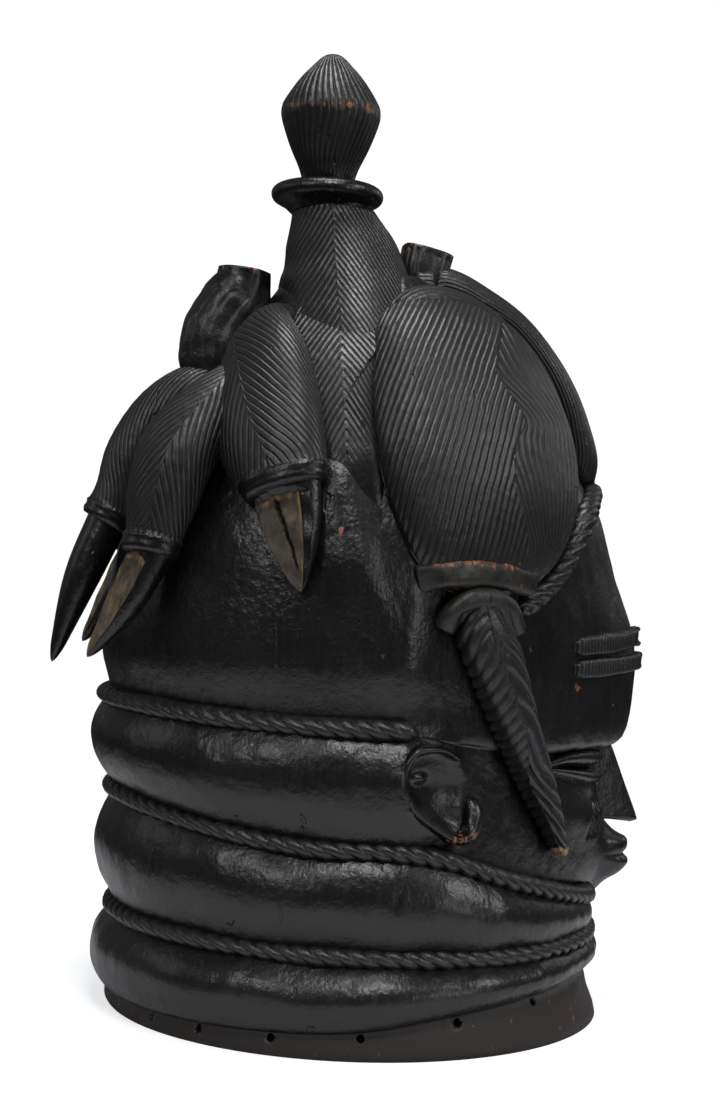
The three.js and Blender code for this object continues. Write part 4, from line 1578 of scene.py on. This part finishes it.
@dataclass
class Crest:
    """Herringbone crest with a tongue down each side, the collar and the fluted finial."""

    axis: float = -27
    body: Table = ((-14, 0, 284, 73.5, 37), (-14, 0, 291, 71, 37), (-15, 0, 300, 65.8, 36.5),
                   (-15.5, 0, 310, 58.8, 35.5), (-16, 0, 320, 51, 33.5), (-17.5, 0, 331, 42.3, 31),
                   (-19, 0, 342, 33.8, 28), (-22, 0, 354, 25.5, 24), (-24, 0, 364, 20.3, 19.8),
                   (-24.5, 0, 369, 18.5, 18.5))
    collar: Table = ((365, 17), (368, 20.5), (369.3, 23), (370.6, 25), (372.2, 26), (374, 26.2),
                     (375.6, 25.7), (376.9, 24.4), (377.8, 22.5), (378.4, 19.5), (378.8, 15), (379, 11.5))
    finial: Table = ((378, 11.5), (386, 14), (397, 19), (408, 22.8), (412, 23.4), (416, 22.6), (427, 15.6),
                     (435, 8.5), (438.6, 4.5), (440, 0.4))
    flutes: int = 40
    tongue: Table = ((-40, 320), (-20, 336), (0, 318), (-10, 296), (-15, 262), (-12, 232), (-16, 206),
                     (-25, 190), (-34, 206), (-41, 236), (-46, 270), (-48, 300))
    tongue_middle: tuple[float, float] = (-27, 268)
    tongue_columns: int = 150
    tongue_height: Table = ((205, 0), (225, 2.4), (245, 5.2), (265, 7.2), (280, 7), (290, 6), (300, 4.2),
                            (312, 0.8), (325, -3), (336, -5))
    strokes: Strokes = Strokes(2.2, 0.8, 31)

    def tongue_rise(self, share: Array, forward: Array, up: Array) -> Array:
        """Height of the tongue, which sinks into the crest above and into the ridge below."""
        sunk = 0.7 + 2.0 * (1 - smooth_step(215, 262, up))
        return along(self.tongue_height, up) * (1 - share**3) ** 0.5 - sunk

    def tongue_marks(self, share: Array, forward: Array, up: Array) -> Marks:
        """Herringbone down the tongue, smooth below.

        Args:
            share: share of the way from the middle to the outline.
            forward: forward places.
            up: heights.

        Returns:
            The marks by name.
        """
        fade = smooth_step(236, 258, up - 0.5 * np.abs(forward + 28)) * (1 - smooth_step(0.94, 1.0, share))
        return {**self.strokes.marks(up, forward - self.axis, fade), "wear": 0.08 + 0.08 * fade,
                "dusty": 0.2 * smooth_step(0.8, 1, share), "wormy": np.ones_like(up)}

    def lathe(self, profile: Table, columns: int, rows: int) -> tuple[Array, Array, Array]:
        """Rings of a round form, with the angle and height of each point.

        Args:
            profile: rows of height and reach.
            columns: points round the form.
            rows: rings along it.

        Returns:
            The rings, angles and heights.
        """
        table = np.asarray(profile, float)
        travelled = travelled_along(table)
        steps = np.linspace(0, travelled[-1], rows)
        up, reach = (along(np.stack([travelled, row], -1), steps)[:, None] for row in table.T)
        reach = np.maximum(reach, 0.3)
        angle = np.linspace(0, TURN, columns, endpoint=False)
        rings = place(self.axis + reach * np.cos(angle), reach * np.sin(angle), up)
        return rings, angle * np.ones_like(up), up * np.ones(columns)

    def build(self, shop: Workshop) -> None:
        """Make crest, tongues, collar and finial.

        Args:
            shop: the shared finishes and recipe.
        """
        body = Tube(self.body, sides=330, steps=100, depth_along=(0, -1, 0)).surface()
        side, up, ahead = np.abs(body.points[:, 0]), body.points[:, 2], forward_of(body.points) - self.axis
        around = (np.arctan2(side, ahead) - math.pi / 2) * np.hypot(side, ahead)
        fade = 1 - smooth_step(364, 367, up)
        shop.combed("crest", body.mark(**self.strokes.marks(up, around, fade), wear=0.2))
        pad = Pad(self.tongue, self.tongue_middle, self.tongue_columns)
        shop.combed("crest_tongues", pad.surface(self.tongue_rise, self.tongue_marks).doubled())
        rings, _, _ = self.lathe(self.collar, 96, 30)
        shop.plain("collar", Surface.loft(rings).mark(wear=0.22))
        rings, angle, up = self.lathe(self.finial, 260, 68)
        stroke = self.flutes * angle / TURN + 1.6 * np.abs((up - 408) / 30) ** 1.2
        marks = {"stroke": stroke, "cut": 0.6 * MM * between(380, 386, 434, 439, up),
                 "wear": 0.12 + 0.95 * bell(up, 411, 2.6)}
        shop.combed("finial", Surface.loft(rings, marks), sharpness=0.7)


class TipFinish(Enum):
    """How the end of a horn-like lock looks."""

    BROKEN = "broken"
    WORN = "worn"
    POLISHED = "polished"


@dataclass
class Lock:
    """Horn-like lock of hair: a combed body, a ring and a pointed tip."""

    name: str
    body: Table
    tip: Table
    strokes: Strokes
    finish: TipFinish
    both_sides: bool = True

    def ringed(self) -> Table:
        """Body stations with the two beads of the ring at the end.

        Returns:
            The stations.
        """
        before, last = np.asarray(self.body[-2:], float)
        length = np.linalg.norm((last - before)[:3])
        beads = ((7.4, 0.1), (5.9, 1.0), (4.1, 0.35), (2.3, 1.0), (0.0, 0.0))
        ends = [mix(last, before, short / length) + np.array([0, 0, 0, grow, grow]) for short, grow in beads]
        return [*self.body[:-1], *ends]

    def tip_shape(self, out: Array, off: Array, share: Array) -> tuple[Array, Array, Marks]:
        """Flat broken or worn face on the outside of a tip, with a crack.

        Args:
            out: outward share of each point of the section.
            off: sideways share of each point.
            share: place along the tip, from 0 to 1.

        Returns:
            The changed outward and sideways shares, and the marks.
        """
        if self.finish is TipFinish.POLISHED:
            return out, off, {"wear": np.full(out.shape, 0.05)}
        broken = self.finish is TipFinish.BROKEN
        flat, border, cracked, worn, aged = (
            (0.30, -0.46, 1.0, 0.3, 0.80) if broken else (0.45, -0.72, 0.0, 0.75, 0.70))
        limit = flat + 0.05 * np.sin(share * 19 + off * 3)
        start = 0.10 + 0.06 * (off - 0.1) ** 2
        bare = smooth_step(-0.02, 0.08, np.where(off > 0, out + 0.1, out - limit))
        bare = bare * smooth_step(start, start + 0.03, share) * smooth_step(border - 0.05, border + 0.05, off)
        rim = limit + 0.25 * smooth_step(border + 0.08, border - 0.05, off)
        out = np.where(share > start, np.minimum(out, rim), out)
        line = mix(0.42, 0.0, share / 0.75) + 0.014 * np.sin(share * 31) + 0.012 * np.sin(share * 97)
        crack = cracked * bell(off, line, 0.04) * between(0.11, 0.16, 0.72, 0.82, share)
        edge = np.maximum(bell(off, border + 0.04, 0.06), bell(share, start + 0.035, 0.022))
        # The crack is painted near black through the pit mark: painted shade in the crack.
        marks = {"bare": bare, "pit": np.clip(crack * 1.6, 0, 1), "wear": 0.3 + worn * bare,
                 "aged": np.clip(aged - 0.55 * edge, 0, 1)}
        return out - crack * 0.55 * bare, off, marks

    def build(self, shop: Workshop) -> None:
        """Make the lock, and its twin on the other side if it has one.

        Args:
            shop: the shared finishes and recipe.
        """
        rows = self.ringed()
        ring = (len(self.body) - 1) / (len(rows) - 1)
        strokes = replace(self.strokes, shares=(0.0, ring + 0.015))
        body = Tube(rows, sides=200, steps=76, strokes=strokes).surface()
        body.mark(wear=0.1, wormy=1, dusty=0.45 * smooth_step(0.1, 0.6, waves(body.points, 30, 3)))
        tip = Tube(self.tip, sides=120, steps=60, closing=0.12, shape=self.tip_shape).surface()
        make = shop.pair if self.both_sides else shop.combed
        make(self.name, Surface.joined(body, tip), unevenness=0.75, waver=0.12)


def locks() -> list[Lock]:
    """The five horn-like locks.

    Returns:
        The side, the back and the middle lock.
    """
    side = Lock(
        "side_lock",
        ((-50, 22, 308, 13, 6), (-60, 38, 298, 22, 12), (-61, 60, 279, 27, 15), (-58.5, 77, 257, 26, 15),
         (-54, 88, 240, 21, 13), (-52.5, 91.5, 231, 17, 11.5)),
        ((-53, 91, 236, 16, 8), (-49, 98, 211, 11, 6.5), (-46, 103, 190.5, 2, 2)),
        Strokes(2.5, 1.0, 24, 92, front_lean=26), TipFinish.BROKEN)
    back = Lock(
        "back_lock",
        ((-66, 42, 284, 12, 9), (-80, 52, 268, 17, 14), (-95, 60, 248, 19, 16), (-101, 63, 228, 17, 15),
         (-104, 64, 212, 14, 12), (-106, 65, 203, 13, 11)),
        ((-104, 65, 207, 10.5, 9.5), (-116, 64, 182, 9, 7.5), (-130, 61, 158.5, 2, 2)),
        Strokes(2.8, 1.15, 30, 126, front_lean=26), TipFinish.WORN)
    middle = Lock(
        "middle_lock",
        ((-72, 0, 282, 14, 12), (-86, 0, 278, 17, 13), (-99, 0, 267, 17, 14), (-110, 0, 248, 16, 14.5),
         (-115, 0, 231, 15, 13.5), (-123, 0, 216, 13, 11.5)),
        ((-121, 0, 220, 10.5, 9.5), (-133, 0, 190, 9.5, 8), (-144.5, 0, 152, 2, 2)),
        Strokes(2.4, 1.0, 26, 90), TipFinish.POLISHED, both_sides=False)
    return [side, back, middle]


@dataclass
class MiddleForms:
    """Roll along the parting in front, and the two broken stubs on the mid-line."""

    roll: Table = ((14, 0, 333, 15, 11), (30, 0, 333, 17, 11), (47, 0, 325, 20, 11), (62, 0, 315, 22, 11),
                   (75, 0, 301, 23, 11), (86, 0, 285, 22, 11), (93, 0, 270, 20, 11), (98, 0, 255, 17, 11),
                   (100, 0, 244, 12, 8))
    back_stub: Table = ((-72, 0, 280, 14, 17), (-73, 0, 300, 15, 21), (-68, 0, 319, 15, 18),
                        (-64.5, 0, 331, 13.5, 13.5), (-64, 0, 336, 13, 12.5))
    back_middle: Triple = (0, 66, 300)
    front_stub: Table = ((19, 0, 328, 12, 11), (20, 0, 342, 13, 12), (22, 0, 351, 12, 12))

    def build(self, shop: Workshop) -> None:
        """Make the roll and the stubs.

        Args:
            shop: the shared finishes and recipe.
        """
        roll = Tube(self.roll, sides=140, steps=48, strokes=Strokes(2.7, 0.7, 3)).surface()
        shop.combed("parting_roll", roll.mark(wear=0.12))
        cuts = Strokes(7.5, 0.45, 4, 60, (0, 0.6))
        back = Tube(self.back_stub, sides=104, steps=60, strokes=cuts).surface()
        lumps = waves(back.points * [1, 1, 0.7], 13, 41) * 0.6 + waves(back.points * [1, 1, 0.8], 5, 42) * 0.3
        lumps = lumps * smooth_step(282, 295, back.points[:, 2]) - 0.6
        back.points = back.points + unit((back.points - self.back_middle) * [1, 1, 0]) * lumps[:, None]
        top = smooth_step(327, 335, back.points[:, 2]) * smooth_step(0.0, 0.8, waves(back.points, 20, 2))
        shop.combed("back_stub", back.mark(wear=0.15 + 0.6 * top), sharpness=0.7)
        cuts = Strokes(6, 0.8, 5, 60, (0, 0.9))
        front = Tube(self.front_stub, sides=90, steps=24, squareness=3.2, strokes=cuts).surface()
        top = smooth_step(346, 351, front.points[:, 2])
        shop.combed("front_stub", front.mark(wear=0.2 + 0.7 * top), sharpness=0.7)


@dataclass
class Plaits:
    """Plait that falls from each lobe, with the band and the roll over it."""

    plait: Table = ((31, 97, 188, 13, 9), (34.5, 97, 173, 13, 10), (40, 93.5, 162, 13, 10),
                    (50, 84, 141.5, 11.5, 9.5), (63.5, 69, 117, 9.8, 8.5), (74, 60, 98, 7.5, 7),
                    (81, 54.5, 83.5, 5, 5), (86, 49, 75.5, 2.5, 3))
    band: Table = ((4, 100, 198, 6, 6), (14, 105, 200, 6, 6), (28, 101, 201, 6, 6), (42, 92, 200, 6, 6),
                   (55, 80, 198, 6, 6))
    roll: Table = ((15, 101, 178, 4.6, 4.6), (19, 105, 187, 4.6, 4.6), (31, 102.5, 191, 4.6, 4.6),
                   (43, 95, 187, 4.6, 4.6), (49, 87, 178, 4.6, 4.6))

    def build(self, shop: Workshop) -> None:
        """Make both plaits with their bands.

        Args:
            shop: the shared finishes and recipe.
        """
        strokes = Strokes(5.3, 2.8, 62, 84, (0.0, 0.94), end_parting=20, front_lean=20)
        plait = Tube(self.plait, sides=110, steps=160, closing=0.05, strokes=strokes, squareness=2.5)
        plait = plait.surface()
        up = plait.points[:, 2]
        plait.mark(bare=1.4 * (1 - smooth_step(78, 81, up + 1.5 * waves(plait.points, 5, 9))),
                   wear=0.15 + 0.3 * (1 - smooth_step(80, 90, up)))
        band = Tube(self.band, sides=30, steps=36, squareness=3).surface()
        band.points = band.points + waves(band.points, 6, 21)[:, None] * [0.5, 0.5, 0.3]
        band.mark(wear=0.45 + 0.8 * smooth_step(201, 206, band.points[:, 2]), dusty=0.75)
        roll = Tube(self.roll, sides=24, steps=40).surface()
        roll.points = roll.points + waves(roll.points, 9, 4)[:, None] * 0.25
        whole = Surface.joined(plait, band, roll.mark(wear=0.25, dusty=0.75))
        shop.pair("plait", whole, sharpness=0.3, tilt=0.35, unevenness=0.4)


@dataclass
class Face:
    """Scar bands on the brow, eyelids, nose and ears."""

    scar_bands: Table = ((173.5, 169.5, 4.6), (161.8, 159.5, 4.4))
    scar_angle: float = 0.7
    scar_stand: float = 3.2
    scar_pitch: float = 2.9
    scar_columns: int = 340
    upper_lid: Table = ((4, 115.9, 2.8, 1.5), (9, 115.9, 3.7, 3.4), (22, 116.9, 4.1, 4.6),
                        (33, 118.0, 3.5, 4.4), (44, 117.9, 2.3, 3), (56, 115.5, 0.8, 1))
    lower_lid: Table = ((4, 106.4, 2.3, 1.3), (9, 106.4, 2.9, 3.3), (22, 107.5, 3.2, 4.4),
                        (33, 109.7, 2.7, 4), (44, 112.2, 1.8, 2.6), (54, 114.3, 0.8, 1))
    nose_ridge: Table = ((0, 122.5), (0.1, 124.2), (0.5, 130.4), (0.94, 137.3), (1, 137.2))
    nose_half: Table = ((0, 4.0), (0.3, 5.5), (0.7, 8.2), (1, 10.6))
    nose_top: float = 121.5
    nose_foot: float = 83.4
    ear_rim: Table = ((24, 90.5, 123, 1.6, 3.6), (14, 100.2, 127.5, 2.0, 5.4), (3, 105, 126, 2.2, 5.8),
                      (-1.5, 106, 115, 2.2, 6), (3, 105.7, 104, 2.2, 5.8), (14, 101.5, 95, 2.2, 5.8),
                      (25, 93.5, 89, 2.6, 5.2), (32, 88.5, 91, 3.6, 4.6), (34.5, 86, 98, 4.0, 4.2),
                      (33, 84.5, 106, 3, 2))

    def scar_band(self, shop: Workshop, name: str, middle: float, end: float, half: float) -> None:
        """One band of short upright ribs across the brow.

        Args:
            shop: the shared finishes and recipe.
            name: name of the piece.
            middle: height at the middle of the brow.
            end: height at both ends.
            half: half height of the band.
        """
        angle = np.linspace(self.scar_angle, -self.scar_angle, self.scar_columns)
        up = mix(middle, end, np.abs(angle) / self.scar_angle)
        points = FORM.point(angle, up, Zone.CROWN, -0.9)
        ribs = CarvedRope(self.scar_pitch, half, self.scar_stand, 90, 1.9, 22, 0.5)
        band = ribs.surface(points, outwards(points), False)
        shop.combed(name, band, sharpness=0.35, waver=0.02, unevenness=0.15)

    def lid(self, table: Table) -> Surface:
        """One eyelid on the side where x is positive.

        Args:
            table: rows of side, height, half width and half depth.

        Returns:
            The eyelid.
        """
        side, up, *size = np.asarray(table, float).T
        stations = np.stack([FORM.face_forward(side, up), side, up, *size], -1)
        return Tube(stations, sides=24, steps=40).surface()

    def nose(self) -> Surface:
        """Wedge of the nose, with a narrow ridge and a flat underside.

        Returns:
            The nose.
        """
        t = np.linspace(1, 0, 30)[:, None]
        turn = np.linspace(0, TURN, 40, endpoint=False)
        ahead = np.cos(turn)
        before = np.clip(ahead, 0, 1)
        width = rounded(np.sin(turn), 0.9) * along(self.nose_half, t) * (1 - 0.62 * before**0.8)
        forward = mix(111.0, along(self.nose_ridge, t), np.where(ahead > 0, ahead, ahead * 0.6))
        up = mix(self.nose_top, self.nose_foot, t)
        rings = place(forward, width, up + 3.0 * (1 - before) ** 0.6 * t**4)
        rings[0] = mix(rings[0].mean(0), rings[0], 0.86)
        return Surface.loft(rings).mark(wear=0.1)

    def ear(self) -> Surface:
        """Rim of an ear on the side where x is positive."""
        rim = Tube(self.ear_rim, sides=24, steps=90, closing=0.06).surface()
        return rim.mark(wear=0.12 + 0.8 * (1 - smooth_step(90, 96, rim.points[:, 2])))

    def build(self, shop: Workshop) -> None:
        """Make the features of the face and the ears.

        Args:
            shop: the shared finishes and recipe.
        """
        for name, row in zip(("upper_scar_band", "lower_scar_band"), self.scar_bands):
            self.scar_band(shop, name, *row)
        shop.plain("eyelids", Surface.joined(self.lid(self.upper_lid), self.lid(self.lower_lid)).doubled())
        shop.plain("nose", self.nose())
        shop.plain("ears", self.ear().doubled())


# Studio

@dataclass
class Studio:
    """Floor, lights and the camera at the photograph's angle."""

    distance: float = 0.822
    height: float = 0.2057
    azimuth: float = -100.0
    aside: float = -0.004
    roll: float = 2.5
    lens: float = 56.5
    sensor: float = 36
    aim: Triple = (0, 0, 0.2)
    half_floor: float = 14
    surroundings: float = 0.1
    backdrop: float = 1.08
    pale: Triple = (0.985, 0.99, 1.0)
    lights: tuple[tuple[str, Triple, float, float], ...] = (
        ("overhead", (0, 0, 1.6), 0.5, 9),
        ("above_left", (-0.9, 0, 1.3), 0.4, 6),
        ("behind_left", (-0.95, 0.9, 1.0), 0.4, 3),
        ("front", (-0.7, -1.2, 1.0), 0.5, 4.5),
        ("front_low", (-1.2, -0.9, 0.35), 0.4, 1.5),
        ("behind", (0.2, 1.5, 0.8), 0.6, 0.8),
        ("far_side", (0.7, -1.3, 0.8), 0.6, 1))

    def camera(self) -> None:
        """Place the camera slightly behind the side view, looking level and rolled a little."""
        turn = math.radians(self.azimuth)
        back = Vector((math.sin(turn), -math.cos(turn), 0))
        right = Vector((-back.y, back.x, 0))
        data = bpy.data.cameras.new("camera")
        data.lens = self.lens
        data.sensor_width = self.sensor
        camera = placed("camera", data)
        spot = Vector((0, RIM_CENTRE_Y * MM, self.height)) + back * self.distance + right * self.aside
        level = (-back).to_track_quat("-Z", "Y").to_matrix().to_4x4()
        rolled = Matrix.Rotation(math.radians(self.roll), 4, "Z")
        camera.matrix_world = Matrix.Translation(spot) @ level @ rolled
        bpy.context.scene.camera = camera

    def light(self, name: str, spot: Triple, size: float, power: float) -> None:
        """Add one soft square light that faces the middle of the mask.

        Args:
            name: name of the light.
            spot: its place, in metres.
            size: its width and height, in metres.
            power: its power, in watts.
        """
        data = bpy.data.lights.new(name, "AREA")
        data.shape = "SQUARE"
        data.size = size
        data.energy = power
        lamp = placed(name, data)
        lamp.location = spot
        lamp.rotation_euler = (Vector(self.aim) - Vector(spot)).to_track_quat("-Z", "Y").to_euler()

    def floor(self) -> None:
        """Plain floor that the camera sees pale, and that throws little light back from further out."""
        material = bpy.data.materials.new("pale_floor")
        bench = blank(material)
        here = bench.here()
        away = bench.value("ShaderNodeVectorMath", {"operation": "LENGTH"}, [here], "Value")
        tone = bench.blend(bench.noise(here, 3.0, 2.0), (0.84, 0.85, 0.88), (0.87, 0.88, 0.91))
        tone = bench.blend(away.step(0.25, 0.6), tone, (0.05, 0.05, 0.055))
        glow = (0.66 + away.step(0.22, 0.52) * 0.40) * bench.seen()
        bench.end("ShaderNodeBsdfPrincipled", "ShaderNodeOutputMaterial", {
            "Base Color": tone, "Roughness": 0.85, "Emission Strength": 1.0,
            "Emission Color": bench.blend(glow, (0, 0, 0), self.pale)})
        mesh = bpy.data.meshes.new("floor")
        signs = ((-1, -1), (1, -1), (1, 1), (-1, 1))
        corners = [(self.half_floor * x, self.half_floor * y, 0) for x, y in signs]
        mesh.from_pydata(corners, [], [(0, 1, 2, 3)])
        mesh.materials.append(material)
        floor = placed("floor", mesh)

    def build(self) -> None:
        """Set up floor, lights, surroundings and camera."""
        self.camera()
        self.floor()
        world = bpy.data.worlds.new("surroundings")
        bpy.context.scene.world = world
        bench = blank(world)
        strength = self.surroundings + bench.seen() * (self.backdrop - self.surroundings)
        bench.end("ShaderNodeBackground", "ShaderNodeOutputWorld",
                  {"Color": self.pale + (1,), "Strength": strength})
        for light in self.lights:
            self.light(*light)
        bpy.context.scene.view_settings.view_transform = "Standard"


def main() -> None:
    """Build every sub-assembly in order, then the studio."""
    logging.basicConfig(level=logging.INFO, format="%(message)s")
    shop = Workshop()
    for part in (Head(), Ropes(), TempleLobes(), Crest(), *locks(), MiddleForms(), Plaits(), Face()):
        part.build(shop)
    Studio().build()


if __name__ == "__main__":
    main()
